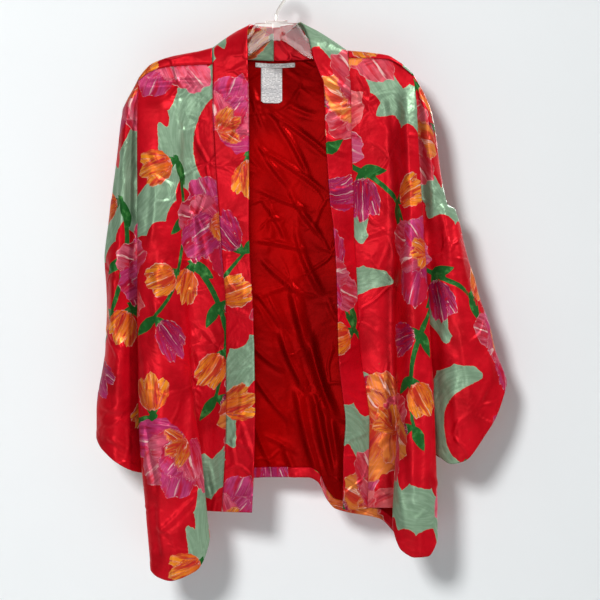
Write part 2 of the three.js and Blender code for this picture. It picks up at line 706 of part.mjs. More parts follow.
// Hanger: a thin plate with a thick rim, a neck block and a hook, all moulded in one.
function hangerTop(out) {
  const ridge = valueAt(RIGHT.shoulder, "out", "ridge", out);
  return { out, drop: ridge + HANGER_BELOW_RIDGE };
}

const HANGER_UPPER = [...HANGER_INNER_TOP, ...HANGER_SHOULDER_OUTS.map(hangerTop), HANGER_TIP];

function shapeOf(points) {
  return new THREE.Shape(points.map(({ out, drop }) => new THREE.Vector2(out, -drop)));
}

function rectangle(half, top, foot) {
  return shapeOf([
    { out: -half, drop: top },
    { out: half, drop: top },
    { out: half, drop: foot },
    { out: -half, drop: foot },
  ]);
}

function slab(shape, thick) {
  return new THREE.ExtrudeGeometry(shape, { depth: thick, bevelEnabled: false })
    .rotateX(Math.PI / 2)
    .translate(0, thick / 2, 0);
}

function toManifold(geometry) {
  const positions = geometry.getAttribute("position").array;
  const seen = new Map();
  const points = [];
  const inOrder = Array.from({ length: positions.length / 3 }, (_, k) => k);
  const order = geometry.index ? Array.from(geometry.index.array) : inOrder;
  const triVerts = order.map((k) => {
    const key = [0, 1, 2].map((axis) => positions[3 * k + axis].toFixed(4)).join();
    if (!seen.has(key)) {
      seen.set(key, points.length / 3);
      points.push(...positions.slice(3 * k, 3 * k + 3));
    }
    return seen.get(key);
  });
  const whole = triVerts.filter((_, k) => {
    const [a, b, c] = triVerts.slice(k - (k % 3), k - (k % 3) + 3);
    return a !== b && b !== c && c !== a;
  });
  const vertProperties = new Float32Array(points);
  return new wasm.Manifold(new wasm.Mesh({ numProp: 3, vertProperties, triVerts: new Uint32Array(whole) }));
}

function fromManifold(made) {
  const { vertProperties, triVerts } = made.getMesh();
  return new THREE.BufferGeometry()
    .setAttribute("position", new THREE.BufferAttribute(vertProperties, 3))
    .setIndex(new THREE.BufferAttribute(triVerts, 1));
}

function hookPath() {
  const { top, flangeTall } = HANGER_NECK;
  const middle = HOOK.inside + HOOK.wire / 2;
  const bend = Array.from({ length: HOOK.bends + 1 }, (_, k) => {
    const angle = THREE.MathUtils.lerp(HOOK.from, HOOK.to, k / HOOK.bends);
    return new THREE.Vector3(middle * Math.cos(angle), 0, -HOOK.inside + middle * Math.sin(angle));
  });
  return new THREE.CatmullRomCurve3([
    new THREE.Vector3(0, 0, -top - flangeTall),
    new THREE.Vector3(0, 0, HOOK.stem - top),
    new THREE.Vector3(HOOK.lean, 0, 2 * HOOK.stem - top),
    ...bend,
  ]);
}

function hangerGeometry() {
  const mirror = (points) => points.map(({ out, drop }) => ({ out: -out, drop })).toReversed();
  const half = [...HANGER_UPPER, ...HANGER_UNDERSIDE];
  const edge = [...half, ...mirror(half)].toReversed();
  const shifted = (inward, down) => ({ out, drop }) => ({ out: out - inward, drop: drop + down });
  const window = [
    ...HANGER_UPPER.map(shifted(HANGER_RIM_WIDE / 2, HANGER_RIM_WIDE)),
    ...HANGER_UNDERSIDE.map(shifted(HANGER_RIM_WIDE / 4, -HANGER_RIM_WIDE)),
  ];
  const rim = shapeOf(edge);
  rim.holes.push(shapeOf(window), shapeOf(mirror(window)));
  const { top, flangeHalf, flangeTall, blockHalf, blockFoot, thick } = HANGER_NECK;
  const round = new THREE.Shape().absarc(0, 0, HOOK.wire / 2, 0, 2 * Math.PI);
  const bent = { steps: HOOK.steps, curveSegments: HOOK.sides, extrudePath: hookPath() };
  const pieces = [
    slab(shapeOf(edge), HANGER_PLATE),
    slab(rim, HANGER_RIM),
    slab(rectangle(flangeHalf, top, top + flangeTall), thick),
    slab(rectangle(blockHalf, top, blockFoot), thick),
    new THREE.ExtrudeGeometry(round, bent),
  ];
  return fromManifold(pieces.map(toManifold).reduce((sum, next) => sum.add(next)));
}

const MATERIALS = {
  print: { color: 0xd0202f, roughness: 0.38 },
  bandPrint: { color: 0xc23a44, roughness: 0.38 },
  lining: { color: 0xb3050b, roughness: 0.32 },
  label: { color: 0xf1efec, roughness: 0.6 },
  plastic: { color: 0xe8ebec, roughness: 0.08, transparent: true, opacity: 0.35 },
};

const group = new THREE.Group();

function piece(name, geometry, finish) {
  geometry.computeVertexNormals();
  const material = new THREE.MeshStandardMaterial({ metalness: 0, ...MATERIALS[finish] });
  const mesh = new THREE.Mesh(geometry, material);
  mesh.name = name;
  group.add(mesh);
}

const back = backGrid();
piece("back_panel", wall(back, -CLOTH), "print");

const liningFrom = spread(BACK_SIDE_STEPS.slice(0, LINING_INSET)).length - 1;
const liningPart = (grid) => grid.slice(liningFrom, grid.length - liningFrom).map((line) => line.slice(WRAP));
const lining = liningPart(moved(back, -CLOTH - SEAM_GAP));
piece("back_lining", wall(lining, -CLOTH), "lining");

const liningFront = liningPart(moved(back, -2 * CLOTH - 2 * SEAM_GAP));
const facing = liningFront.map((line) => {
  const [above, hem] = line.slice(-2);
  return [hem.clone().lerp(above, FACING_SHARE), hem];
});
piece("hem_facing", wall(facing, -CLOTH), "bandPrint");

for (const [name, side] of [["right", RIGHT], ["left", LEFT]]) {
  piece("front_" + name, wall(frontGrid(side), side.sign * CLOTH), "print");
  piece("sleeve_" + name, wall(sleeveGrid(side), side.sign * CLOTH), "print");
  piece("neckband_" + name, wall(bandGrid(side), side.sign * BAND_WALL), "bandPrint");
}

// Labels: the long one sags between its ends, and the tall one hangs from its lower edge.
const shareAcross = (label, x) => (x - label.left) / (label.right - label.left);
const neckLabelTop = (x) => NECK_LABEL.top + NECK_LABEL.sag * Math.sin(Math.PI * shareAcross(NECK_LABEL, x));
const neckLabelFoot = (x) => neckLabelTop(x) + NECK_LABEL.tall;
const neckLabel = labelGrid(liningFront, NECK_LABEL, neckLabelTop, neckLabelFoot);
piece("neck_label", wall(neckLabel, -LABEL_WALL), "label");

const careLabelTop = (x) => neckLabelFoot(x) + SEAM_GAP;
const careLabelFoot = (x) => {
  const fromMiddle = Math.abs(2 * shareAcross(CARE_LABEL, x) - 1);
  const foot = NECK_LABEL.top + NECK_LABEL.tall + CARE_LABEL.tall;
  return foot - CARE_LABEL.corner * fromMiddle ** CARE_LABEL.squareness;
};
const careLabel = labelGrid(liningFront, CARE_LABEL, careLabelTop, careLabelFoot);
piece("care_label", wall(careLabel, -LABEL_WALL), "label");

piece("hanger", hangerGeometry(), "plastic");

export default group;
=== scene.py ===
import math

import bpy
import numpy as np
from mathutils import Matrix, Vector


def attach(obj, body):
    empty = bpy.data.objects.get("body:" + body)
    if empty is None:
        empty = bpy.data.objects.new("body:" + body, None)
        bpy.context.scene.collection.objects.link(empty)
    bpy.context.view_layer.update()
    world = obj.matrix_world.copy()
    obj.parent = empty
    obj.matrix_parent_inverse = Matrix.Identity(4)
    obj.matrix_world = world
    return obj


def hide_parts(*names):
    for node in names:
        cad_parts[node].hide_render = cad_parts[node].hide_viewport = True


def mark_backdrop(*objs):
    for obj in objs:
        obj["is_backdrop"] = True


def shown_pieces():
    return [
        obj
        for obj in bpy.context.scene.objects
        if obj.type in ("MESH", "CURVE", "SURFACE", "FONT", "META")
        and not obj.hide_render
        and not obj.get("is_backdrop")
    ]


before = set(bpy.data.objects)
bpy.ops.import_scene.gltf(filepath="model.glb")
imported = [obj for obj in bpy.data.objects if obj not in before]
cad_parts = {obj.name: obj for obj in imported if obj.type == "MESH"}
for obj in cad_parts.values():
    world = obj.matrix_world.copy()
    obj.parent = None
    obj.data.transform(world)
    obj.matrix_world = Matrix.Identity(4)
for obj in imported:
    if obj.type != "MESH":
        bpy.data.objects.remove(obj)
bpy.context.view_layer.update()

bl_info = {
    "name": "Kimono Jacket",
    "version": (1, 0, 0),
    "blender": (4, 5, 0),
    "location": "View3D > Sidebar > Kimono",
    "description": "Makes a lined satin kimono jacket on a clear hanger",
    "category": "Object",
}

MM = 0.001

# Walls and seams, in millimetres as in the tables below
CLOTH = 1.2
BAND_WALL = 2.0
SEAM_GAP = 0.4
NECK_GAP = 0.6
TUCK_GAP = 0.6
TUCK_UNDER_BAND = 5
FLAP_FWD = 12.3
FLAP_FWD_AT_END = 10.4
FLAP_TAPER_FROM = 200
BACK_OF_RIDGE = 16
BACK_BELOW_RIDGE = 16
RIDGE_SQUARENESS = 3
FADE_BELOW_SHOULDER = 120
TUCK_UNDER_FLAP = 0.3
TUCK_UNDER_FLAP_MOST = 5
NECK_CROWN = [0, 1, 3, 5, 5, 3, 1, 0, 0, 0, 0, 0]
SLEEVE_BACK_DEPTH = 0.9
SLEEVE_HEAD_GAP = 0.3
SLEEVE_HEAD_FADE = 14
SLEEVE_HEAD_FROM = 7
SLEEVE_HEAD_FULL = 2
HEM_STEP = 0.5
HEM_TURN = (10, 13)
WRAP_STATIONS = 6
NECK_COLUMN = 4
LAST_COLUMN = 10
LINING_INSET = 2
FACING_TALL = 17
LABEL_WALL = 0.5
LABEL_GAP = 0.3
NECK_LABEL = {"left": -35.5, "right": 30.5, "top": 123, "tall": 7.5, "sag": 1.5}
NECK_LABEL_STEPS = (34, 8)
CARE_LABEL = {"left": -26, "right": 9, "tall": 61, "corner": 4, "squareness": 6, "corner_lift": 1.2}
CARE_LABEL_STEPS = (20, 40)
LABEL_CREASE = {"drop": 165, "rise": 0.9, "width": 1.6}
LINING_REACH = 12

# Where each piece was cut from the printed cloth: metres across and along it, and degrees turned
BACK_CUT = (0.30, 0.05, 0)
RIGHT_FRONT_CUT = (0.03, 0.52, 0)
LEFT_FRONT_CUT = (0.45, 0.47, 0)
RIGHT_SLEEVE_CUT = (0.05, 0.45, 0)
LEFT_SLEEVE_CUT = (0.48, 0.30, 0)
RIGHT_BAND_CUT = (0.06, 0.44, 0)
LEFT_BAND_CUT = (0.44, 0.33, 0)
FACING_CUT = (0.12, 0.40, 90)

# Flat width, length and area of each paired piece, in metres
RIGHT_FRONT_FLAT = (0.31, 0.85, 0.157)
LEFT_FRONT_FLAT = (0.27, 0.81, 0.133)
RIGHT_SLEEVE_FLAT = (0.23, 0.65, 0.094)
LEFT_SLEEVE_FLAT = (0.43, 0.64, 0.115)
RIGHT_BAND_FLAT = (0.07, 0.89, 0.0464)
LEFT_BAND_FLAT = (0.086, 0.9, 0.0453)

# Steps between the named columns of each panel and down its length, at the full grid
FULL_GRID = 6
BACK_STEPS = (4, 9, 11, 12, 34, 34, 12, 11, 9, 4)
BACK_ROWS = 230
WRAP_ROWS = 24
FRONT_STEPS = (3, 11, 12, 9, 18, 18, 12)
FRONT_ROWS = 300
SLEEVE_STEPS = (6, 12, 18, 18, 12, 6)
SLEEVE_ROWS = 240
BAND_STEPS = 20
BAND_ROWS = 300
BAND_NECK_ROWS = 130

# The hanger's rounded rim and the stage, in metres, and the camera's sensor in millimetres
RIM_ROUNDING = 0.0007
RIM_SHARPNESS = math.radians(40)
SAME_POINT = 0.00001
FLAT_ENOUGH = math.radians(1)
BACKDROP = 7
WALL_ABOVE = 2
FLOOR_BELOW = 1.5
CAMERA_SENSOR = 36

# Lamps on the jacket: name, place, size and share of the main lamp's power
JACKET_LAMPS = (
    ("Main lamp", (3.3, -3.5, 3.4), 1.0, 1.0),
    ("Front lamp", (-0.6, -4.4, 0.3), 2.2, 0.22),
    ("Back lamp", (1.8, 4.2, 1.0), 1.4, 0.4),
)
WALL_LAMP_AT = (-1.8, -4.4, 1.5)
WALL_LAMP_SIZE = 1.3

# Middle of the picture, in metres across and up
PICTURE_MIDDLE = (0.0388, -0.5184)


def table(columns, *rows):
    """Rows of numbers as one array for each named column."""
    return dict(zip(columns.split(), np.array(rows, float).T))


# "drop" is a depth below the hanger's hook, "out" a distance sideways and "fwd" one towards the fronts.


class Right:
    """The wearer's right side, whose cloth falls in one wide pleat with a long point."""

    sign = -1
    shoulder = table(
        "out ridge seam",
        (105, 101.5, 131), (126, 107.5, 132), (150, 112, 133), (176, 117.5, 135), (200, 126, 140),
        (209, 131, 144), (217, 139, 149), (230, 156, 160),
    )
    band = table(
        "drop seam_out seam_fwd free_out free_fwd",
        (131, 105, 12.9, 47, 21),
        (205, 105, 17, 45, 25),
        (254, 103, 18, 45, 27),
        (395, 93, 19, 45, 29),
        (460, 88, 20, 43, 31),
        (540, 82.5, 20, 38, 33),
        (716, 82.5, 20, 35, 33),
        (799, 86, 19, 37, 32),
        (866, 90, 18, 40, 31),
    )
    neck = table(
        "seam_out seam_fwd seam_drop free_out free_fwd free_drop",
        (105, 12.9, 131, 47, 21, 131),
        (105.5, 12.5, 116, 47, 20, 112),
        (105.3, 9, 105, 47.5, 16, 93),
        (104.5, 1, 101.5, 48, 9, 76),
        (102, -7, 103, 46, 2, 66),
        (98, -13, 107, 44.5, -5, 63),
        (92, -18.5, 110.5, 43, -11, 62),
        (80, -25, 114, 39, -17, 62),
        (62, -30, 116.5, 32, -23, 62.5),
        (42, -33.5, 118.5, 23, -27, 63),
        (22, -35.5, 119.5, 13, -29.5, 63.5),
        (5.2, -36, 120, 5.2, -30.5, 64),
    )
    front = table(
        "drop recess_out recess_fwd valley_out valley_fwd edge_out edge_fwd "
        "crest_out crest_fwd side_out side_fwd end_out end_fwd",
        (120, 125, 10.2, 150, 10.2, 162, 10.2, 190, 10, 222, 7.6, 228, 7),
        (162, 127, 10.2, 150, 10.2, 162, 10.4, 190, 10.2, 226, 8, 228, 7.6),
        (205, 130, 10, 151, 11, 162, 16, 193, 26, 228, 19, 225, 12),
        (270, 130, 9, 151, 11, 161, 19, 195, 34, 228, 24, 224, 12),
        (400, 122, 9, 149, 10, 158, 20, 195, 40, 227, 27, 223, 12),
        (456, 118, 9, 146, 9, 156, 20, 194, 42, 227, 28, 223, 12),
        (520, 114, 8, 143, 7, 152, 18, 192, 44, 227, 29, 219, 0.4),
        (600, 111, 8, 140, 5, 145, 19, 188, 47, 226, 31, 218, 0.4),
        (680, 110, 7, 141, 2, 137, 21, 185, 50, 225, 33, 216, 0.4),
        (760, 111, 6, 143, 0, 124, 24, 182, 52, 222, 34, 213, 0.4),
        (866, 114, 5, 145, 0, 113, 29, 178, 54, 212, 36, 204, 0.4),
        (975, 114, 5, 145, 0, 101, 30, 172, 50, 203, 36, 195, 0.4),
    )
    front_hem = table(
        "at drop",
        (0, 866), (2, 866), (3, 876), (4, 906), (4.5, 960), (5, 975), (5.5, 970), (6, 960),
        (7, 945),
    )
    back = table(
        "drop neck_out neck_fwd valley_out valley_fwd crest_out crest_fwd side_out side_fwd end_out end_fwd",
        (150, 97, -20, 140, -14, 190, -12, 222, -10, 227, -7),
        (205, 98, -18, 145, -12, 192, -18, 228, -18, 225, -12),
        (300, 97, -17, 148, -11, 192, -26, 228, -21, 224, -12),
        (456, 95, -16, 148, -9, 190, -32, 227, -23, 223, -12),
        (520, 94, -15, 147, -8, 188, -34, 227, -24, 219, -0.4),
        (680, 92, -15, 146, -8, 186, -37, 225, -26, 216, -0.4),
        (820, 90, -14, 144, -8, 182, -38, 217, -27, 208, -0.4),
        (975, 88, -14, 140, -8, 172, -38, 203, -27, 195, -0.4),
    )
    sleeve = table(
        "drop start_out start_fwd inner_out inner_fwd fold_out fold_fwd outer_out outer_fwd",
        (161, 219, 6.8, 226, 6.6, 229, 5, 231.5, 0),
        (205, 216, 11.3, 232, 10.6, 243, 17, 253, 2),
        (300, 215, 11.3, 233, 10.2, 250, 21, 266.5, 2),
        (396, 215, 11.3, 234, 10, 255, 23, 278, 2),
        (456, 215, 11.3, 235, 10, 261, 24, 284.5, 1),
        (468, 218, 9, 235, 9.5, 263, 24, 284, 1),
        (480, 225, 6.5, 235, 9.2, 264, 25, 283, 0),
        (495, 226, 4, 235, 9, 266, 25, 282, 0),
        (520, 225, 1.6, 235, 9, 266, 25, 281, 0),
        (600, 224, 1.6, 236, 12, 262, 26, 283, 0),
        (700, 223, 1.6, 236, 14, 268, 28, 297, 0),
        (804, 219, 1.6, 233, 13, 264, 27, 297, 0),
    )
    sleeve_hem = table(
        "at drop",
        (0, 804), (1, 800), (2, 782), (2.5, 764), (3, 745), (3.5, 760), (4, 778), (5, 797),
        (6, 803),
    )


class Left:
    """The wearer's left side, whose pleat is narrower and whose sleeve flares."""

    sign = 1
    shoulder = table(
        "out ridge seam",
        (116, 106.5, 120), (150, 110, 121), (184, 115, 123), (198, 123, 129), (209, 130.5, 136),
        (217, 138, 142), (228, 149, 152),
    )
    band = table(
        "drop seam_out seam_fwd free_out free_fwd",
        (120, 118, 12.9, 60, 21),
        (140, 119.6, 13.5, 68, 23),
        (164, 122, 14, 77, 26),
        (190, 123, 14, 79.5, 29),
        (243, 123.5, 14, 80.5, 31),
        (312, 125.5, 14, 85, 33),
        (353, 127, 13, 88, 36),
        (409, 128, 12, 95, 40),
        (492, 133, 10, 100, 44),
        (561, 134.5, 9, 101.5, 46),
        (619, 140, 9, 103, 46),
        (665, 147.5, 9, 108, 43),
        (716, 153, 9, 114, 40),
        (781, 152, 9, 110, 39),
        (862, 150, 9, 110, 38),
    )
    neck = table(
        "seam_out seam_fwd seam_drop free_out free_fwd free_drop",
        (118, 12.9, 120, 60, 21, 120),
        (118, 12.5, 113, 56, 20, 102),
        (117.5, 9, 108.5, 52.5, 16, 86),
        (116, 1, 106.5, 48, 9, 73),
        (113, -7, 107.5, 43, 2, 63),
        (109, -13, 110, 40, -5, 59),
        (102, -18.5, 113, 38, -11, 58.5),
        (86, -25, 115.5, 34.5, -17, 59),
        (64, -30, 117.5, 27, -23, 60),
        (40, -33.5, 119, 17, -27, 61.5),
        (17, -35.5, 120, 6, -29.5, 63),
        (-4.8, -36, 120, -4.8, -30.5, 64),
    )
    front = table(
        "drop recess_out recess_fwd valley_out valley_fwd edge_out edge_fwd "
        "crest_out crest_fwd side_out side_fwd end_out end_fwd",
        (110, 150, 10.2, 178, 10.2, 190, 10.2, 206, 9, 220, 7.6, 226, 7),
        (154, 152, 10.2, 186, 10.2, 196, 10.2, 210, 9.2, 226, 8, 226, 7.6),
        (200, 156, 9, 189, 10, 201, 17, 214, 27, 230, 20, 227, 12),
        (270, 160, 7, 191, 8, 202, 20, 217, 33, 233, 25, 229, 12),
        (400, 165, 5, 192, 5, 201, 20, 220, 38, 241, 28, 236, 12),
        (456, 167, 4, 192, 4, 200.5, 20, 221, 40, 245, 29, 240, 12),
        (520, 168, 3, 191, 2, 200, 20, 222, 42, 249, 30, 242, 0.4),
        (620, 172, 2, 193, 1, 199.5, 22, 224, 45, 254, 31, 246, 0.4),
        (700, 178, 2, 198, 0, 198, 24, 226, 47, 258, 32, 249, 0.4),
        (760, 180, 2, 204, 0, 196, 26, 226, 49, 260, 33, 250, 0.4),
        (862, 182, 2, 208, 0, 190, 30, 225, 50, 263, 34, 253, 0.4),
        (940, 182, 2, 208, 0, 190, 31, 225, 48, 262, 34, 250, 0.4),
    )
    front_hem = table(
        "at drop",
        (0, 861), (2, 861), (3, 864), (4, 888), (4.5, 926), (5, 937), (5.5, 936), (6, 912),
        (7, 892),
    )
    back = table(
        "drop neck_out neck_fwd valley_out valley_fwd crest_out crest_fwd side_out side_fwd end_out end_fwd",
        (150, 107, -20, 150, -14, 196, -12, 220, -10, 226, -7),
        (200, 108, -18, 155, -12, 202, -18, 230, -18, 227, -12),
        (300, 106, -17, 160, -10, 206, -26, 235, -21, 231, -12),
        (456, 104, -16, 164, -8, 210, -32, 245, -23, 240, -12),
        (520, 103, -15, 166, -8, 212, -34, 249, -24, 242, -0.4),
        (620, 102, -13, 167, -9, 214, -35, 254, -25, 246, -0.4),
        (700, 101, -8, 168, -10, 216, -36, 258, -26, 249, -0.4),
        (862, 98, -4, 170, -11, 218, -38, 263, -27, 253, -0.4),
        (940, 98, -4, 170, -11, 218, -38, 262, -27, 250, -0.4),
    )
    sleeve = table(
        "drop start_out start_fwd inner_out inner_fwd fold_out fold_fwd outer_out outer_fwd",
        (153, 216, 6.6, 224, 6.4, 227, 5, 230, 0),
        (200, 218, 11.3, 234, 10.5, 243, 16, 253, 2),
        (240, 219, 11.3, 236, 10.4, 250, 19, 262, 2),
        (304, 222, 11.3, 240, 10.2, 256, 21, 270, 2),
        (361, 225, 11.3, 244, 10.2, 263, 23, 281, 2),
        (368, 226, 11.3, 244, 10.2, 266, 23, 294, 0),
        (420, 229, 11.3, 248, 10.2, 284, 26, 308, -1),
        (456, 232, 11.3, 251, 10.2, 291, 27, 318, -1),
        (468, 238, 9, 253, 9.5, 293, 27, 322, -1),
        (480, 245, 6.5, 255, 9.2, 295, 28, 326, -1),
        (495, 247, 4, 256, 9, 296, 28, 330, -1),
        (520, 249, 1.6, 259, 9, 298, 28, 337, -1),
        (560, 250, 1.6, 261, 11, 299, 29, 352, -1),
        (600, 252, 1.6, 263, 12, 300, 30, 361, -1),
        (655, 254, 1.6, 265, 13, 304, 30, 379.5, -1),
        (790, 257, 1.6, 268, 14, 310, 28, 382, -1),
    )
    sleeve_hem = table(
        "at drop",
        (0, 765), (1, 776), (1.5, 787), (2, 781), (2.5, 726), (3, 657), (3.5, 715), (4, 774),
        (4.5, 785), (5, 778), (6, 766),
    )


BACK_MIDDLE = table(
    "drop centre_out centre_fwd",
    (120, -5, -36),
    (160, -5, -31),
    (260, -4, -22),
    (420, -4, -18),
    (640, -4, -17),
    (860, -3, -20),
)
BACK_HEM = table(
    "at drop",
    (0, 943), (1, 955), (2, 962), (3, 890), (4, 824), (4.5, 814), (5, 812), (5.55, 812),
    (5.7, 819), (5.85, 848), (6, 863), (7, 880), (8, 922), (9, 905), (10, 890),
)


# Curves through the tables


def smooth_at(knots, values, x):
    """Smooth value at x through knots, never beyond them."""
    slope = np.diff(values) / np.diff(knots)
    before, after = slope[:-1], slope[1:]
    total = before + after
    inner = np.where(before * after <= 0, 0, 2 * before * after / np.where(total == 0, 1, total))
    tangent = np.concatenate([slope[:1], inner, slope[-1:]])
    x = np.clip(x, knots[0], knots[-1])
    i = np.clip(np.searchsorted(knots, x, side="right") - 1, 0, len(knots) - 2)
    width = knots[i + 1] - knots[i]
    t = (x - knots[i]) / width
    rise = values[i + 1] - values[i]
    a = tangent[i] * width
    b = tangent[i + 1] * width
    return values[i] + a * t + (3 * rise - 2 * a - b) * t**2 + (a + b - 2 * rise) * t**3


def shoulder_at(side, part, out):
    return smooth_at(side.shoulder["out"], side.shoulder[part], out)


def hem_at(rows, t):
    return smooth_at(rows["at"], rows["drop"], t)


def pair(rows, key, drop):
    """Plan points [out, fwd] of one column of a table."""
    return np.stack([smooth_at(rows["drop"], rows[key + part], drop) for part in ("_out", "_fwd")], -1)


def through(points, t):
    """Point at column number t of a smooth curve through plan points, for all rows at once."""
    last = len(points) - 1
    i = min(int(t), last - 1)
    w = t - i
    near, far = points[i], points[i + 1]
    before = points[i - 1] if i else 2 * near - far
    after = points[i + 2] if i + 2 <= last else 2 * far - near

    def step(a, b, instead):
        size = np.sum((b - a) ** 2, -1, keepdims=True) ** 0.25
        return np.where(size < 1e-4, instead, size)

    middle = step(near, far, 1)
    first = step(before, near, middle)
    third = step(far, after, middle)
    start = (near - before) / first - (far - before) / (first + middle) + (far - near) / middle
    end = (far - near) / middle - (after - near) / (middle + third) + (after - far) / third
    start, end = start * middle, end * middle
    square = 3 * (far - near) - 2 * start - end
    cube = 2 * (near - far) + start + end
    return near + start * w + square * w**2 + cube * w**3


def fade(x, low, high):
    """0 below low, 1 above high, smooth between."""
    t = np.clip((x - low) / (high - low), 0, 1)
    return t * t * (3 - 2 * t)


def unit(v):
    return v / np.maximum(np.linalg.norm(v, axis=-1, keepdims=True), 1e-9)


def spread(*steps):
    """Column numbers with the given number of steps between neighbours."""
    parts = [i + np.arange(1, count + 1) / count for i, count in enumerate(steps)]
    return np.concatenate([[0.0], *parts])


def placed(side, plan, drop):
    """Scene points, in millimetres, of plan points at a drop."""
    return np.stack([side.sign * plan[..., 0], -plan[..., 1], -drop], -1)


# Grids of each panel: first index across, second index down


def front_plan(side, t, drop):
    seam, free = pair(side.band, "seam", drop), pair(side.band, "free", drop)
    along = unit(free - seam)
    inward = np.stack([-along[..., 1], along[..., 0]], -1) * (BAND_WALL + TUCK_GAP)
    tucked = seam + along * TUCK_UNDER_BAND + inward
    clear = seam - along * TUCK_UNDER_BAND + inward
    names = ("recess", "valley", "edge", "crest", "side", "end")
    return through([tucked, clear] + [pair(side.front, name, drop) for name in names], t)


def front_grid(side, columns, rows):
    lines = []
    for t in columns:
        out = front_plan(side, t, side.front["drop"][1:2])[0, 0]
        ridge = shoulder_at(side, "ridge", out)
        seam = shoulder_at(side, "seam", out)
        top = seam - min(TUCK_UNDER_FLAP * (seam - ridge), TUCK_UNDER_FLAP_MOST)
        hem = hem_at(side.front_hem, t)
        drop = np.linspace(top, hem, rows + 1)
        lines.append(placed(side, front_plan(side, t, drop), drop))
    return np.array(lines)


def station_point(side, edge, station):
    """Point of the band's seam or free edge at a station of the neck table, which may lie between two."""
    parts = [side.neck[edge + part] for part in ("_out", "_fwd", "_drop")]
    out, fwd, drop = through([np.array(p) for p in zip(*parts)], station)
    return np.array([side.sign * out, -fwd, -drop])


def neck_line(side, station):
    """The back panel's edge beside the band."""
    seam, free = station_point(side, "seam", station), station_point(side, "free", station)
    return seam + NECK_GAP * unit(seam - free)


def band_grid(side, columns, rows, neck_rows):
    top, hem = side.band["drop"][0], side.band["drop"][-1]
    s = np.linspace(0, 1, columns + 1)[:, None]
    drop = np.linspace(hem, top, rows, endpoint=False)
    seam, free = pair(side.band, "seam", drop), pair(side.band, "free", drop)
    lower = [placed(side, seam * (1 - k) + free * k, drop) for k in s]
    upper = []
    last = len(NECK_CROWN) - 1
    for station in np.linspace(0, last, neck_rows + 1):
        a, b = station_point(side, "seam", station), station_point(side, "free", station)
        line = a * (1 - s) + b * s
        line[:, 2] += np.interp(station, range(last + 1), NECK_CROWN) * np.sin(math.pi * s[:, 0])
        upper.append(line)
    return np.concatenate([np.array(lower), np.array(upper).transpose(1, 0, 2)], axis=1)


def back_plan(t, drop):
    names = ("end", "side", "crest", "valley", "neck")

    def signed(side, name):
        return pair(side.back, name, drop) * [side.sign, 1]

    points = [signed(Right, name) for name in names]
    points.append(pair(BACK_MIDDLE, "centre", drop))
    points += [signed(Left, name) for name in reversed(names)]
    return through(points, t)


def over_shoulder(side, out, stations):
    """Cloth over the shoulder at one distance out: a squarish arch from the forward seam to the back."""
    ridge = shoulder_at(side, "ridge", out)
    seam = shoulder_at(side, "seam", out)
    taper = fade(out, FLAP_TAPER_FROM, side.shoulder["out"][-1])
    flap = FLAP_FWD + (FLAP_FWD_AT_END - FLAP_FWD) * taper
    back_depth = BACK_OF_RIDGE + (FLAP_FWD_AT_END - BACK_OF_RIDGE) * taper
    back_drop = BACK_BELOW_RIDGE + (seam - ridge - BACK_BELOW_RIDGE) * taper
    angle = math.pi * stations / WRAP_STATIONS
    fwd = np.sign(np.cos(angle)) * np.abs(np.cos(angle)) ** (2 / RIDGE_SQUARENESS)
    rise = np.abs(np.sin(angle)) ** (2 / RIDGE_SQUARENESS)
    ahead = angle < math.pi / 2
    foot = np.where(ahead, seam, ridge + back_drop)
    depth = fwd * np.where(ahead, flap, back_depth)
    return placed(side, np.stack([np.full_like(depth, out), depth], -1), foot - rise * (foot - ridge))


def back_top(t, stations):
    """Points of one column of the back panel from its top to where it starts to hang."""
    side = Right if t <= LAST_COLUMN / 2 else Left
    at = t if side is Right else LAST_COLUMN - t
    if at > NECK_COLUMN:
        last = len(NECK_CROWN) - 1
        station = WRAP_STATIONS + (last - WRAP_STATIONS) * (at - NECK_COLUMN)
        point = neck_line(side, station)
        if at == LAST_COLUMN / 2:
            point[0] = BACK_MIDDLE["centre_out"][0]
        return np.repeat(point[None], len(stations), axis=0)
    arch_at = min(at, NECK_COLUMN - 0.5)
    level = side.back["drop"][:1]
    out = abs(back_plan(arch_at if side is Right else LAST_COLUMN - arch_at, level)[0, 0])
    arch = over_shoulder(side, out, stations)
    if at <= NECK_COLUMN - 0.5:
        return arch
    beside = np.array([neck_line(side, s) for s in stations])
    share = (at - arch_at) * 2
    return arch * (1 - share) + beside * share


def back_grid(columns, wrap_rows, rows):
    stations = np.linspace(0, WRAP_STATIONS, wrap_rows + 1)
    lines = []
    for t in columns:
        top = back_top(t, stations)
        start = top[-1]
        hem = hem_at(BACK_HEM, t)
        drop = np.linspace(-start[2], hem, rows + 1)[1:]
        plan = back_plan(t, drop)
        first = back_plan(t, np.array([-start[2]]))[0]
        shift = np.array([start[0] - first[0], start[1] + first[1], 0])
        hanging = np.stack([plan[:, 0], -plan[:, 1], -drop], -1)
        hanging += shift * (1 - fade(drop + start[2], 0, FADE_BELOW_SHOULDER))[:, None]
        lines.append(np.concatenate([top, hanging]))
    return np.array(lines)


def sleeve_grid(side, columns, rows):
    lines = []
    for t in columns:
        hem = hem_at(side.sleeve_hem, t)
        drop = np.linspace(side.sleeve["drop"][0], hem, rows + 1)
        front = [pair(side.sleeve, name, drop) for name in ("start", "inner", "fold", "outer")]
        start, inner, fold, outer = front
        behind = [fold * [1, -SLEEVE_BACK_DEPTH], inner * [1, -1], start * [1, -1]]
        lines.append(placed(side, through(front + behind, t), drop))
    return np.array(lines)


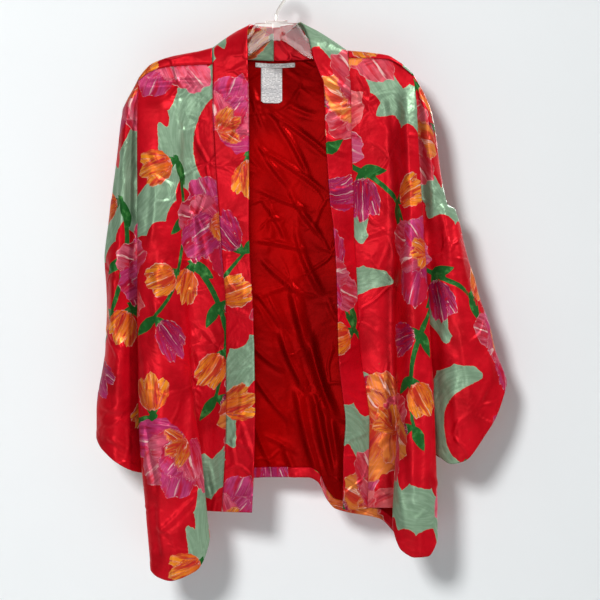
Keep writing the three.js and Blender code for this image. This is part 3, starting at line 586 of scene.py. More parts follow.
def sleeve_head(side, grid):
    """Draws a sleeve's top up and in, under the end of the back panel's arch over the shoulder."""
    end, outer = side.back["end_out"][0], side.sleeve["outer_out"][0]
    under_arch = shoulder_at(side, "ridge", end) + CLOTH + SLEEVE_HEAD_GAP
    head = fade(side.sign * grid[:, :1, 0], outer - SLEEVE_HEAD_FROM, outer - SLEEVE_HEAD_FULL)
    head = head * (1 - fade(grid[:, :1, 2] - grid[..., 2], 0, SLEEVE_HEAD_FADE))
    grid[..., 2] += head * (side.sleeve["drop"][0] - under_arch)
    grid[..., 0] -= head * side.sign * (outer - end - CLOTH)
    return grid


def normals_of(grid):
    """Normals of a grid's points, by the way its neighbours lie."""
    across = np.gradient(grid, axis=0)
    down = np.gradient(grid, axis=1)
    return unit(np.cross(across, down))


def lengths(grid, level):
    """Distance across from the middle column and down from a level row, in metres along the cloth."""
    across = np.linalg.norm(np.diff(grid, axis=0), axis=-1)
    down = np.linalg.norm(np.diff(grid, axis=1), axis=-1)
    u = np.concatenate([np.zeros_like(across[:1]), np.cumsum(across, axis=0)])
    v = np.concatenate([np.zeros_like(down[:, :1]), np.cumsum(down, axis=1)], axis=1)
    u = u - u[len(u) // 2]
    v = v - v[:, level : level + 1] - grid[:, level : level + 1, 2]
    return np.stack([u, v], -1) * MM


# Creases, in millimetres over each panel as seen from the front or back


TROUGH_DEPTH = 0.45
TROUGH_PLACE = 1.7
CREASE_ENDS = 0.3


def creased(x, drop, rows):
    """Height of a table's creases: each a ridge and a shallow trough, along a bowed line that dies away."""
    total = np.zeros_like(x)
    for x0, d0, x1, d1, width, rise, bow in zip(*rows.values()):
        length = math.hypot(x1 - x0, d1 - d0)
        ux, uy = (x1 - x0) / length, (d1 - d0) / length
        a = ((x - x0) * ux + (drop - d0) * uy) / length
        b = (drop - d0) * ux - (x - x0) * uy - 4 * bow * a * (1 - a)
        ends = fade(a, 0, CREASE_ENDS) * fade(1 - a, 0, CREASE_ENDS)
        ridge = np.exp(-((b / width) ** 2)) - TROUGH_DEPTH * np.exp(-((b / width - TROUGH_PLACE) ** 2))
        total += rise * ends * ridge
    return total


def rumples(x, drop, seed, count, lean, rise):
    """Small creases scattered over a panel, uneven in length, depth and direction."""
    pick = np.random.default_rng(seed)
    x0 = pick.uniform(x.min(), x.max(), count)
    d0 = pick.uniform(drop.min(), drop.max(), count)
    angle = np.radians(lean + pick.normal(0, 28, count))
    length = pick.uniform(25, 95, count)
    return {
        "x0": x0,
        "drop0": d0,
        "x1": x0 + length * np.cos(angle),
        "drop1": d0 + length * np.sin(angle),
        "width": pick.uniform(2.5, 6, count),
        "rise": rise * pick.uniform(0.4, 1.3, count) * pick.choice([-1, 1], count),
        "bow": pick.normal(0, 4, count),
    }


CREASE = "x0 drop0 x1 drop1 width rise bow"
RIGHT_FRONT_CREASES = table(
    CREASE,
    (-228, 164, -106, 160, 4, 1.6, -3),
    (-168, 190, -128, 152, 4, 1.3, 2),
    (-150, 208, -108, 223, 4, 1.2, 3),
    (-160, 170, -163, 440, 9, 2.4, 3),
    (-134, 180, -133, 520, 8, -1.6, 2),
    (-208, 268, -168, 322, 5, 1.4, 3),
    (-196, 318, -208, 440, 6, 1.6, -3),
    (-186, 420, -196, 620, 8, 1.8, 3),
    (-132, 380, -112, 470, 5, 1.2, -2),
    (-208, 500, -172, 585, 5, 1.2, 4),
    (-142, 560, -120, 640, 5, 1.3, 3),
    (-139, 660, -139, 790, 5, 2, 2),
    (-213, 695, -190, 842, 4, -2.4, 5),
    (-176, 700, -164, 860, 9, 1.8, -5),
    (-198, 902, -122, 826, 4, 2.2, 3),
    (-200, 884, -160, 908, 4, 1.6, -2),
    (-190, 830, -178, 955, 5, 1.6, 3),
    (-150, 880, -128, 940, 4, 1.4, -3),
    (-214, 600, -206, 700, 6, 1.4, 2),
)
RIGHT_BAND_CREASES = table(
    CREASE,
    (-106, 176, -48, 166, 4, 1, 1),
    (-104, 220, -46, 236, 4, 1.3, 2),
    (-103, 300, -50, 288, 3.5, 1, -1),
    (-98, 372, -46, 392, 4, 1.2, 2),
    (-92, 448, -44, 436, 3.5, 1, 2),
    (-86, 530, -40, 548, 4, 1.2, -2),
    (-84, 640, -38, 622, 3.5, 1.1, 2),
    (-84, 742, -36, 760, 4, 1.2, 2),
    (-88, 826, -40, 815, 3.5, 1, -1),
)
LEFT_FRONT_CREASES = table(
    CREASE,
    (130, 158, 162, 212, 5, 1.4, 3),
    (126, 196, 170, 190, 4, 1.1, -2),
    (182, 158, 196, 330, 7, 1.8, -4),
    (210, 160, 222, 360, 7, 1.6, 3),
    (152, 310, 188, 380, 5, 1.6, 3),
    (136, 420, 186, 402, 5, 1.2, -3),
    (206, 380, 214, 600, 7, 2, -3),
    (236, 400, 240, 640, 6, -1.6, 2),
    (138, 622, 196, 656, 5, 1.5, 4),
    (160, 766, 202, 728, 5, 1.6, -3),
    (150, 690, 186, 700, 4, 1.1, 2),
    (212, 640, 232, 860, 8, 2, 4),
    (246, 640, 240, 880, 7, 1.8, -3),
    (196, 790, 214, 905, 5, 1.6, 2),
    (222, 880, 250, 850, 4, 1.5, 2),
    (158, 820, 190, 846, 4, 1.2, 2),
)
LEFT_BAND_CREASES = table(
    CREASE,
    (66, 150, 120, 176, 4, 1.2, 2),
    (78, 214, 122, 204, 4, 1.1, -1),
    (80, 262, 122, 282, 4, 1.3, 2),
    (82, 344, 126, 332, 4, 1.2, 1),
    (90, 398, 128, 420, 4, 1.2, -2),
    (96, 470, 130, 456, 3.5, 1, 1),
    (100, 530, 134, 548, 4, 1.3, 2),
    (102, 604, 140, 590, 4, 1.1, -1),
    (106, 664, 148, 690, 4, 1.3, 2),
    (112, 748, 152, 734, 4, 1.2, 1),
    (110, 812, 152, 832, 4, 1.3, -2),
)
RIGHT_SLEEVE_CREASES = table(
    CREASE,
    (-246, 200, -252, 420, 7, 2.2, 3),
    (-262, 330, -228, 402, 5, 1.6, 3),
    (-268, 420, -272, 620, 8, 2, -4),
    (-282, 440, -240, 500, 5, 1.4, 3),
    (-286, 560, -242, 610, 5, 1.5, -3),
    (-250, 560, -258, 760, 8, 2, 3),
    (-292, 690, -236, 700, 5, 1.6, 4),
    (-282, 740, -240, 770, 4, 1.5, -2),
)
LEFT_SLEEVE_CREASES = table(
    CREASE,
    (238, 200, 258, 420, 7, 2.2, -4),
    (268, 300, 292, 470, 7, 1.8, 3),
    (294, 372, 318, 520, 7, 2.2, 4),
    (264, 430, 276, 640, 8, 2, -4),
    (302, 560, 330, 710, 6, 2, 5),
    (340, 560, 366, 690, 6, 1.8, 4),
    (284, 640, 300, 780, 6, 1.8, -3),
    (262, 560, 268, 730, 6, -1.8, 2),
    (322, 700, 352, 640, 5, 1.4, 3),
)
LINING_CREASES = table(
    CREASE,
    (-44, 150, -14, 250, 5, 1.4, 3),
    (-20, 190, 60, 330, 4, 2.2, -6),
    (-30, 196, 96, 288, 3.5, 2.2, -5),
    (8, 186, 70, 214, 4, 1.3, 3),
    (-36, 246, 30, 340, 4, 1.8, 5),
    (-36, 262, 92, 350, 3.5, 2.4, -4),
    (-40, 330, 66, 372, 3.5, 1.9, 3),
    (-34, 340, 20, 430, 4, 1.7, -5),
    (14, 322, 86, 424, 4, 1.9, 6),
    (-42, 418, 60, 440, 3.5, 1.7, -3),
    (-34, 440, 62, 520, 4, 2.1, 6),
    (30, 396, 84, 520, 5, 2.2, 7),
    (-40, 500, 16, 580, 4, 1.8, -4),
    (-20, 496, 50, 600, 4, 2.0, 6),
    (20, 470, 106, 730, 8, 5.6, 10),
    (4, 560, 66, 690, 6, 4.0, 8),
    (56, 560, 100, 720, 5.5, 4.2, 8),
    (60, 640, 108, 850, 7, 5.0, 8),
    (30, 640, 78, 830, 7, 3.4, 6),
    (-44, 590, 20, 640, 4, 1.8, 4),
    (-40, 640, 34, 730, 4, 2.0, 5),
    (-44, 700, 6, 820, 5, 1.8, 4),
    (-30, 740, 40, 776, 3.5, 1.6, -3),
    (84, 690, 108, 858, 6, 3.0, -3),
    (8, 740, 52, 850, 6, 2.2, 4),
)
BACK_CREASES = table(
    CREASE,
    (-170, 170, -60, 236, 8, 2.2, 8),
    (-190, 260, -110, 330, 7, 1.8, 6),
    (170, 168, 70, 240, 8, 2.2, -8),
    (188, 250, 120, 340, 7, 1.8, -6),
    (-40, 240, 36, 252, 7, 1.6, 6),
    (-130, 380, -150, 640, 9, 2.4, 8),
    (-60, 420, -78, 700, 10, 2.2, -8),
    (24, 400, 34, 720, 10, 2.4, 8),
    (110, 380, 128, 660, 9, 2.2, -8),
    (-188, 520, -168, 780, 8, 2, 8),
    (186, 500, 210, 760, 8, 2, -8),
    (-20, 560, 60, 620, 6, 1.5, 6),
    (-110, 700, -30, 760, 6, 1.5, -6),
    (60, 720, 130, 690, 6, 1.6, 5),
    (-176, 820, -120, 860, 6, 1.6, 4),
)


# The print: broad leaves, stems with buds and open blooms, repeated over the cloth, in metres on it flat

REPEAT = np.array([0.56, 0.66])
CRESCENTS = table(
    "x y turn radius span half_width scallops",
    (0.14, 0.16, 100, 0.100, 235, 0.034, 13),
    (0.46, 0.10, -30, 0.110, 200, 0.030, 11),
    (0.36, 0.39, 190, 0.090, 215, 0.032, 11),
    (0.08, 0.49, 20, 0.125, 175, 0.031, 11),
    (0.50, 0.61, 140, 0.085, 190, 0.030, 9),
    (0.29, 0.22, 300, 0.060, 150, 0.024, 7),
)
BLOOMS = table(
    "x y turn span petals length half_width paint",
    (0.25, 0.05, -75, 250, 5, 0.150, 0.040, 0),
    (0.50, 0.25, 130, 360, 5, 0.105, 0.034, 1),
    (0.19, 0.33, 70, 220, 5, 0.160, 0.041, 2),
    (0.38, 0.54, 200, 360, 6, 0.125, 0.038, 3),
    (0.04, 0.62, -15, 200, 4, 0.130, 0.036, 1),
)
SPRIGS = table(
    "x y turn half_length bow buds",
    (0.05, 0.28, 78, 0.14, 0.050, 4),
    (0.37, 0.17, 40, 0.13, -0.040, 4),
    (0.51, 0.43, 105, 0.12, 0.035, 4),
    (0.20, 0.52, -25, 0.13, 0.040, 4),
)


# A stem's leaves, cups and buds: length and half width
STEM_LEAF = (0.046, 0.0095)
CUP = (0.022, 0.011)
BUD_LENGTHS = (0.062, 0.074)
BUD_HALF_WIDTH = 0.0145
BUD_ABOVE_NODE = 0.016
PAINT_EDGE = 0.0003


def paint(red, green, blue):
    """A paint's scene colour from its shade on a chart."""
    chart = np.array([red, green, blue]) / 255
    return tuple(np.where(chart <= 0.04045, chart / 12.92, ((chart + 0.055) / 1.055) ** 2.4))


# Heart and tip paints of a bloom's petals, taken in turn round it
BLOOM_PAINTS = [
    [(paint(164, 11, 58), paint(201, 86, 123)), (paint(192, 19, 48), paint(210, 104, 104))],
    [(paint(156, 16, 76), paint(192, 66, 118)), (paint(180, 20, 66), paint(208, 98, 118))],
    [(paint(204, 58, 44), paint(218, 96, 100)), (paint(176, 16, 58), paint(200, 80, 116))],
    [(paint(177, 13, 56), paint(203, 89, 97)), (paint(210, 93, 33), paint(221, 130, 56))],
]
BUD_PAINTS = [(paint(212, 88, 20), paint(231, 146, 34)), (paint(132, 10, 64), paint(186, 44, 104))]
HEART_PAINT = (paint(192, 65, 22), paint(227, 140, 37))


def cos_sin(turn):
    """Cosine and sine of a turn in degrees."""
    return math.cos(math.radians(turn)), math.sin(math.radians(turn))


class Motifs:
    """What the print puts at each point of a panel: edges are distances inside a shape, in metres."""

    def __init__(self, flat):
        count = len(flat)
        self.flat = flat
        self.leaf = np.full(count, -1.0)
        self.stem = np.full(count, -1.0)
        self.bloom = np.full(count, -1.0)
        self.leaf_grain = np.zeros((count, 3))
        self.grain = np.zeros((count, 3))
        self.tint = np.ones((count, 3))

    def near(self, x, y, turn):
        """Points measured from a place on the repeat, in axes turned there."""
        offset = self.flat - [x, y]
        offset = offset - REPEAT * np.round(offset / REPEAT)
        c, s = cos_sin(turn)
        return offset @ np.array([[c, -s], [s, c]])

    def crescent(self, x, y, turn, radius, span, half_width, scallops):
        """A broad curved leaf: smooth on its inner edge and scalloped on its outer one."""
        along, across = self.near(x, y, turn).T
        angle = np.degrees(np.arctan2(across, along))
        share = np.clip(angle / (span / 2), -1, 1)
        out = np.hypot(along, across) - radius * (1 + 0.12 * share)
        taper = np.clip(1 - np.abs(share) ** 2.6, 0, 1) ** 0.6
        scallop = 1 - 0.30 * np.abs(np.sin(math.pi * scallops * share / 2)) ** 0.55
        outer = half_width * taper * (scallop + 0.05 * np.sin(23 * share))
        inner = half_width * taper * (1 + 0.06 * np.sin(7 * share + x * 40))
        edge = np.minimum(outer - out, out + inner)
        edge = np.minimum(edge, (span / 2 - np.abs(angle)) * radius * math.pi / 180)
        take = edge > self.leaf
        self.leaf = np.where(take, edge, self.leaf)
        arc = share * radius * span * math.pi / 360
        self.leaf_grain[take] = np.stack([out, arc, np.full_like(out, x)], -1)[take]

    def petal(self, along, across, length, half_width, seed, paints, curl=0.10):
        heart, tip = paints
        share = np.clip(along / length, 0, 1)
        across = across - curl * length * math.sin(seed) * share**2
        body = half_width * (0.16 + 0.84 * np.sin(math.pi * np.minimum(share, 0.97) ** 0.8) ** 0.7)
        ripple = 1 + 0.06 * np.sin(19 * share + 3 * seed) + 0.04 * np.sin(43 * share + seed)
        side = across / half_width
        lobes = 0.07 * np.abs(np.sin(2.1 * side + seed))
        notch = lobes + 0.035 * np.abs(np.sin(6.3 * side + 2 * seed)) + 0.06 * side**2
        ends = np.minimum(length * (1 - notch) - along, along + 0.003)
        edge = np.minimum(body * ripple - np.abs(across), ends)
        take = (edge > 0) | ((self.bloom <= 0) & (edge > self.bloom))
        self.bloom = np.where(take, edge, self.bloom)
        lighter = 0.88 + 0.24 * (0.5 + 0.5 * math.sin(5 * seed))
        mix = (share**1.2)[:, None]
        tint = (np.array(heart) * (1 - mix) + np.array(tip) * mix) * lighter
        self.tint[take] = tint[take]
        grain = np.stack([side, share, np.full_like(share, seed)], -1)
        self.grain[take] = grain[take]

    def flower(self, x, y, turn, span, petals, length, half_width, shade):
        """A loose open bloom: a ring of ragged petals, a smaller ring on it and a short heart."""
        paints = BLOOM_PAINTS[int(shade)]
        count = int(petals)
        for ring, size, width in ((0, 1.0, 1.0), (1, 0.66, 0.78)):
            for k in range(count - ring):
                lean = turn + span / count * (k + 0.5 * ring) + 12 * math.sin(5 * k + 9 * x)
                along, across = self.near(x, y, lean).T
                long = length * size * (0.88 + 0.14 * math.cos(7 * k + 3 * y))
                seed = 1.7 * k + 9 * x + 4 * ring
                self.petal(along, across, long, half_width * width, seed, paints[(k + ring) % 2], 0.16)
        for k in range(3):
            along, across = self.near(x, y, turn + 50 * k - 20).T
            self.petal(along + 0.004, across, 0.36 * length, 0.34 * half_width, 2.3 * k + x, HEART_PAINT)

    def sprig(self, x, y, turn, half_length, bow, buds):
        """A curved stem with a leaf and a bud in its cup at each of its nodes."""
        along, across = self.near(x, y, turn).T
        share = along / half_length
        thick = 0.0042 - 0.0012 * share
        stem = np.minimum(thick - np.abs(across - bow * (1 - share**2)), half_length - np.abs(along))
        self.stem = np.maximum(self.stem, stem)
        c, s = cos_sin(turn)
        for k in range(int(buds)):
            at = -0.95 + 1.9 * k / (buds - 1)
            a, b = half_length * at, bow * (1 - at**2)
            px, py = x + c * a - s * b, y + s * a + c * b
            side = 1 if k % 2 else -1
            lean = turn + side * (52 + 16 * math.sin(3 * k + 8 * x))
            leaf_along, leaf_across = self.near(px, py, turn - side * 40).T
            q = np.clip(leaf_along / STEM_LEAF[0], 0, 1)
            leaf = STEM_LEAF[1] * np.sin(math.pi * q**0.75) ** 0.9 - np.abs(leaf_across)
            leaf = np.minimum(leaf, leaf_along)
            cup_along, cup_across = self.near(px, py, lean).T
            q = np.clip(cup_along / CUP[0], 0, 1)
            ends = np.minimum(cup_along, CUP[0] - cup_along)
            cup = np.minimum(CUP[1] * (1 - (1 - q) ** 2) - np.abs(cup_across), ends)
            self.stem = np.maximum(self.stem, np.maximum(leaf, cup))
            paints = BUD_PAINTS[k % 2]
            for petal, size in ((-1, 0.9), (1, 0.92), (0, 1.0)):
                a, b = self.near(px, py, lean + 17 * petal).T
                long = BUD_LENGTHS[k % 2] * size
                self.petal(a - BUD_ABOVE_NODE, b, long, BUD_HALF_WIDTH, 2.1 * k + petal, paints)

    def paint_all(self):
        for rows, draw in ((CRESCENTS, self.crescent), (SPRIGS, self.sprig), (BLOOMS, self.flower)):
            for row in zip(*rows.values()):
                draw(*row)
        return self


# Meshes


def cloth(name, grid, facing, keep=None, print_at=None, level=0):
    """A one-layer mesh on a grid of points in millimetres. Facing is 1 where its cells face outwards."""
    across, down = grid.shape[:2]
    number = np.arange(across * down).reshape(across, down)
    cells = np.stack([number[:-1, :-1], number[1:, :-1], number[1:, 1:], number[:-1, 1:]], -1)
    if keep is not None:
        cells = cells[keep]
    cells = cells.reshape(-1, 4)[:, ::facing]
    used, cells = np.unique(cells, return_inverse=True)
    cells = cells.reshape(-1, 4)
    points = (grid.reshape(-1, 3) * MM)[used]
    flat = lengths(grid, level).reshape(-1, 2)[used]
    mesh = bpy.data.meshes.new(name)
    mesh.from_pydata(points, [], cells)
    mesh.polygons.foreach_set("use_smooth", np.ones(len(cells), bool))
    loops = np.empty(len(mesh.loops), np.int32)
    mesh.loops.foreach_get("vertex_index", loops)
    mesh.uv_layers.new(name="cut").data.foreach_set("uv", flat[loops].astype(np.float32).ravel())
    if print_at:
        add_print(mesh, flat, *print_at)
    made = bpy.data.objects.new(name, mesh)
    bpy.context.scene.collection.objects.link(made)
    return made


def add_print(mesh, flat, x, y, turn):
    """Stores where the motifs lie on a panel whose cut was laid on the cloth at x, y and turned."""
    c, s = cos_sin(turn)
    motifs = Motifs(flat @ np.array([[c, s], [-s, c]]) + [x, y]).paint_all()
    for name, values in (("leaf", motifs.leaf), ("stem", motifs.stem), ("bloom", motifs.bloom)):
        mesh.attributes.new(name, "FLOAT", "POINT").data.foreach_set("value", values.astype(np.float32))
    for name, values in (("leaf_grain", motifs.leaf_grain), ("grain", motifs.grain), ("tint", motifs.tint)):
        vector = mesh.attributes.new(name, "FLOAT_VECTOR", "POINT")
        vector.data.foreach_set("vector", values.astype(np.float32).ravel())


def finish_cloth(made, node, wall, outside, inside=None):
    """Gives a one-layer mesh its wall and finishes, and stands it in for a node."""
    made.data.materials.append(outside)
    made.data.materials.append(inside or outside)
    solid = made.modifiers.new("Wall", "SOLIDIFY")
    solid.thickness = wall * MM
    solid.offset = -1.0
    solid.material_offset = 1
    solid.use_even_offset = False
    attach(made, "root")
    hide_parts(node)
    return made


# Finishes


class Wire:
    """One value in a material. Sums, products and the like of wires add their own Math nodes."""

    def __init__(self, finish, socket):
        self.finish = finish
        self.socket = socket

    def maths(self, operation, *values):
        return self.finish.node("ShaderNodeMath", {"operation": operation}, dict(enumerate(values)))

    def __add__(self, other):
        return self.maths("ADD", self, other)

    def __radd__(self, other):
        return self.maths("ADD", other, self)

    def __sub__(self, other):
        return self.maths("SUBTRACT", self, other)

    def __rsub__(self, other):
        return self.maths("SUBTRACT", other, self)

    def __mul__(self, other):
        return self.maths("MULTIPLY", self, other)

    def __rmul__(self, other):
        return self.maths("MULTIPLY", other, self)

    def __abs__(self):
        return self.maths("ABSOLUTE", self)

    def mask(self, low, high):
        """0 at low and 1 at high, smooth between."""
        ends = {"Value": self, "From Min": low, "From Max": high, "To Min": 0.0, "To Max": 1.0}
        return self.finish.node("ShaderNodeMapRange", {"interpolation_type": "SMOOTHSTEP"}, ends)


class Finish:
    """A material and the nodes that make it."""

    def __init__(self, name):
        self.material = bpy.data.materials.new(name)
        self.material.use_nodes = True
        self.tree = self.material.node_tree
        self.tree.nodes.clear()

    def node(self, kind, settings, values, output=0):
        """Adds a node, its settings first, then the values or wires of its sockets."""
        made = self.tree.nodes.new(kind)
        for name, value in settings.items():
            setattr(made, name, value)
        for key, value in values.items():
            if isinstance(value, Wire):
                self.tree.links.new(value.socket, made.inputs[key])
            else:
                made.inputs[key].default_value = value
        return Wire(self, made.outputs[output])

    def stored(self, name, output="Fac"):
        return self.node("ShaderNodeAttribute", {"attribute_name": name}, {}, output)

    def vector_maths(self, operation, a, b):
        return self.node("ShaderNodeVectorMath", {"operation": operation}, {0: a, 1: b})

    def noise(self, place, scale, detail=2.0, rough=0.5):
        values = {"Vector": place, "Scale": scale, "Detail": detail, "Roughness": rough}
        return self.node("ShaderNodeTexNoise", {}, values)

    def scaled(self, vector, *scale):
        return self.node("ShaderNodeMapping", {}, {"Vector": vector, "Scale": scale})

    def blend(self, share, below, above):
        """Colour above over colour below by a share."""
        settings = {"data_type": "RGBA", "blend_type": "MIX"}
        return self.node("ShaderNodeMix", settings, {0: share, 6: four(below), 7: four(above)}, 2)

    def place(self, kind="Object"):
        return self.node("ShaderNodeTexCoord", {}, {}, kind)

    def bump(self, height, distance, strength, below=None):
        values = {"Height": height, "Distance": distance, "Strength": strength}
        if below:
            values["Normal"] = below
        return self.node("ShaderNodeBump", {}, values)

    def surface(self, **values):
        """A Principled shader with these socket values."""
        named = {name.replace("_", " "): value for name, value in values.items()}
        return self.node("ShaderNodeBsdfPrincipled", {}, named)

    def done(self, surface):
        """Ends the material in this shader."""
        out = self.tree.nodes.new("ShaderNodeOutputMaterial")
        self.tree.links.new(surface.socket, out.inputs["Surface"])
        return self.material


def four(colour):
    """A colour with its fourth number, or a wire as it is."""
    return colour if isinstance(colour, Wire) else (*tuple(colour)[:3], 1.0)


def satin_normal(finish, cut, sharp, soft):
    """Crisp creases between small facets, soft crumple and the fine ribs of a satin weave."""
    place = finish.place()
    drift = finish.node("ShaderNodeTexNoise", {}, {"Vector": place, "Scale": 7.0, "Detail": 2.0}, "Color")
    bent = finish.vector_maths("ADD", place, finish.vector_maths("MULTIPLY", drift, (0.09, 0.09, 0.09)))
    edges = {"feature": "DISTANCE_TO_EDGE"}
    facets = finish.node("ShaderNodeTexVoronoi", edges, {"Vector": bent, "Scale": 15.0})
    some = finish.noise(place, 11.0, 1.0).mask(0.42, 0.62)
    lines = (1.0 - facets.mask(0.0, 0.085)) * some
    crumple = finish.noise(bent, 24.0, 3.0, 0.5)
    swell = finish.noise(bent, 9.0, 1.0)
    ribs = finish.noise(finish.scaled(cut, 900.0, 140.0, 1.0), 1.0, 1.0)
    swollen = finish.bump(swell, 0.02, 0.75 * soft)
    creased_normal = finish.bump(lines, 0.002, sharp, swollen)
    crumpled = finish.bump(crumple, 0.0075, 0.6 * soft, creased_normal)
    return finish.bump(ribs, 0.00012, 0.35, crumpled)


def satin_roughness(finish, sizes):
    patches = finish.noise(finish.place(), 16.0, 2.0)
    return sizes.satin_roughness - 0.05 + 0.1 * patches


def print_satin(name, colours, sizes):
    """Red satin with painted leaves, stems and blooms."""
    finish = Finish(name)
    cut = finish.place("UV")
    ragged = (finish.noise(cut, 130.0, 3.0, 0.6) - 0.5) * 0.0042
    wash = finish.noise(cut, 14.0, 3.0, 0.6)
    ground = finish.blend(wash.mask(0.35, 0.7), colours.ground, colours.ground_deep)

    leaf_grain = finish.stored("leaf_grain", "Vector")
    strokes = finish.noise(finish.scaled(leaf_grain, 240.0, 26.0, 9.0), 1.0, 3.0, 0.6)
    leaf = finish.blend(strokes.mask(0.36, 0.68), colours.leaf, colours.leaf_pale)
    leaf_edge = finish.stored("leaf") + ragged
    leaf = finish.blend(1.0 - leaf_edge.mask(0.0003, 0.0016), leaf, colours.leaf_rim)
    cloth_colour = finish.blend(leaf_edge.mask(-PAINT_EDGE, PAINT_EDGE), ground, leaf)

    stem_strokes = finish.noise(cut, 60.0, 3.0, 0.6)
    stem = finish.blend(stem_strokes.mask(0.5, 0.72), colours.stem, colours.stem_pale)
    stem_edge = finish.stored("stem") + 0.5 * ragged
    cloth_colour = finish.blend(stem_edge.mask(-PAINT_EDGE, PAINT_EDGE), cloth_colour, stem)

    grain = finish.stored("grain", "Vector")
    broad = finish.noise(finish.scaled(grain, 1.5, 1.0, 3.7), 1.3, 3.0, 0.55)
    brush = finish.noise(finish.scaled(grain, 4.2, 1.1, 5.3), 1.0, 4.0, 0.62)
    fine = finish.noise(finish.scaled(grain, 15.0, 1.8, 2.1), 1.0, 3.0, 0.6)
    tint = finish.stored("tint", "Color")
    bloom = finish.blend(broad.mask(0.47, 0.60) * 0.8, tint, colours.bloom_red)
    bloom = finish.blend(brush.mask(0.50, 0.66) * 0.6, bloom, colours.bloom_deep)
    bloom = finish.blend(fine.mask(0.54, 0.72) * broad.mask(0.62, 0.46) * 0.6, bloom, colours.bloom_pale)
    axis = finish.node("ShaderNodeSeparateXYZ", {}, {0: grain})
    rib = (1.0 - abs(axis + 0.9 * (broad - 0.5)).mask(0.015, 0.07)) * brush.mask(0.44, 0.56)
    bloom = finish.blend(rib * 0.75, bloom, colours.accent)
    bloom_edge = finish.stored("bloom") + 0.8 * ragged
    rim = (1.0 - bloom_edge.mask(0.0004, 0.0018)) * brush.mask(0.46, 0.60)
    bloom = finish.blend(rim * 0.6, bloom, colours.accent)
    cloth_colour = finish.blend(bloom_edge.mask(-PAINT_EDGE, PAINT_EDGE), cloth_colour, bloom)

    surface = finish.surface(
        Base_Color=cloth_colour,
        Roughness=satin_roughness(finish, sizes),
        Metallic=0.34,
        Specular_IOR_Level=0.12,
        Normal=satin_normal(finish, cut, 0.7, 0.8),
    )
    return finish.done(surface)


def plain_satin(name, colour, deep, sizes):
    """Plain satin, a little deeper in patches."""
    finish = Finish(name)
    cut = finish.place("UV")
    wash = finish.noise(finish.place(), 9.0, 3.0, 0.5)
    surface = finish.surface(
        Base_Color=finish.blend(wash.mask(0.35, 0.7), colour, deep),
        Roughness=satin_roughness(finish, sizes) - 0.03,
        Metallic=0.3,
        Specular_IOR_Level=0.02,
        Normal=satin_normal(finish, cut, 0.4, 0.45),
    )
    return finish.done(surface)


def label_satin(name, colours):
    """White ribbon with a fine cross rib and rows of grey flecks."""
    finish = Finish(name)
    cut = finish.place("UV")
    rib = finish.noise(finish.scaled(cut, 120.0, 2400.0, 1.0), 1.0, 1.0)
    worn = finish.noise(finish.place(), 60.0, 3.0)
    ribbon = finish.blend(worn.mask(0.3, 0.75), colours.label, colours.label_grey)
    down = finish.node("ShaderNodeSeparateXYZ", {}, {0: cut}, 1)
    row = down.maths("PINGPONG", down, 0.00115)
    flecks = finish.noise(finish.scaled(cut, 330.0, 440.0, 0.0), 1.0, 2.0)
    flecks = flecks.mask(0.40, 0.52) * row.mask(0.0004, 0.0008)
    return finish.done(
        finish.surface(
            Base_Color=finish.blend(flecks * colours.mark_strength, ribbon, colours.label_mark),
            Roughness=0.42 + 0.1 * rib,
            Normal=finish.bump(rib, 0.0001, 0.5),
        )
    )


def clear_plastic(name, colours):
    """Clear moulded plastic, faintly wavy."""
    finish = Finish(name)
    wave = finish.noise(finish.place(), 26.0, 2.0)
    surface = finish.surface(
        Base_Color=four(colours.plastic),
        Roughness=0.02 + 0.05 * finish.noise(finish.place(), 90.0, 2.0),
        IOR=1.45,
        Transmission_Weight=1.0,
        Normal=finish.bump(wave, 0.001, 0.3),
    )
    return finish.done(surface)


def matt_paint(name, colour):
    """Pale matt wall and floor, seen from their front only."""
    finish = Finish(name)
    grain = finish.noise(finish.place(), 3.0, 2.0)
    tone = finish.blend(grain.mask(0.3, 0.7), colour, [c * 0.985 for c in colour])
    surface = finish.surface(Base_Color=tone, Roughness=0.9)
    behind = finish.node("ShaderNodeNewGeometry", {}, {}, "Backfacing")
    clear = finish.node("ShaderNodeBsdfTransparent", {}, {})
    return finish.done(finish.node("ShaderNodeMixShader", {}, {0: behind, 1: surface, 2: clear}))


# Sizes and colours that a user would change


def shade(name, text, red, green, blue):
    return bpy.props.FloatVectorProperty(
        name=name, description=text, subtype="COLOR", size=3, min=0, max=1, default=paint(red, green, blue)
    )


def amount(name, text, default, **limits):
    return bpy.props.FloatProperty(name=name, description=text, default=default, **limits)


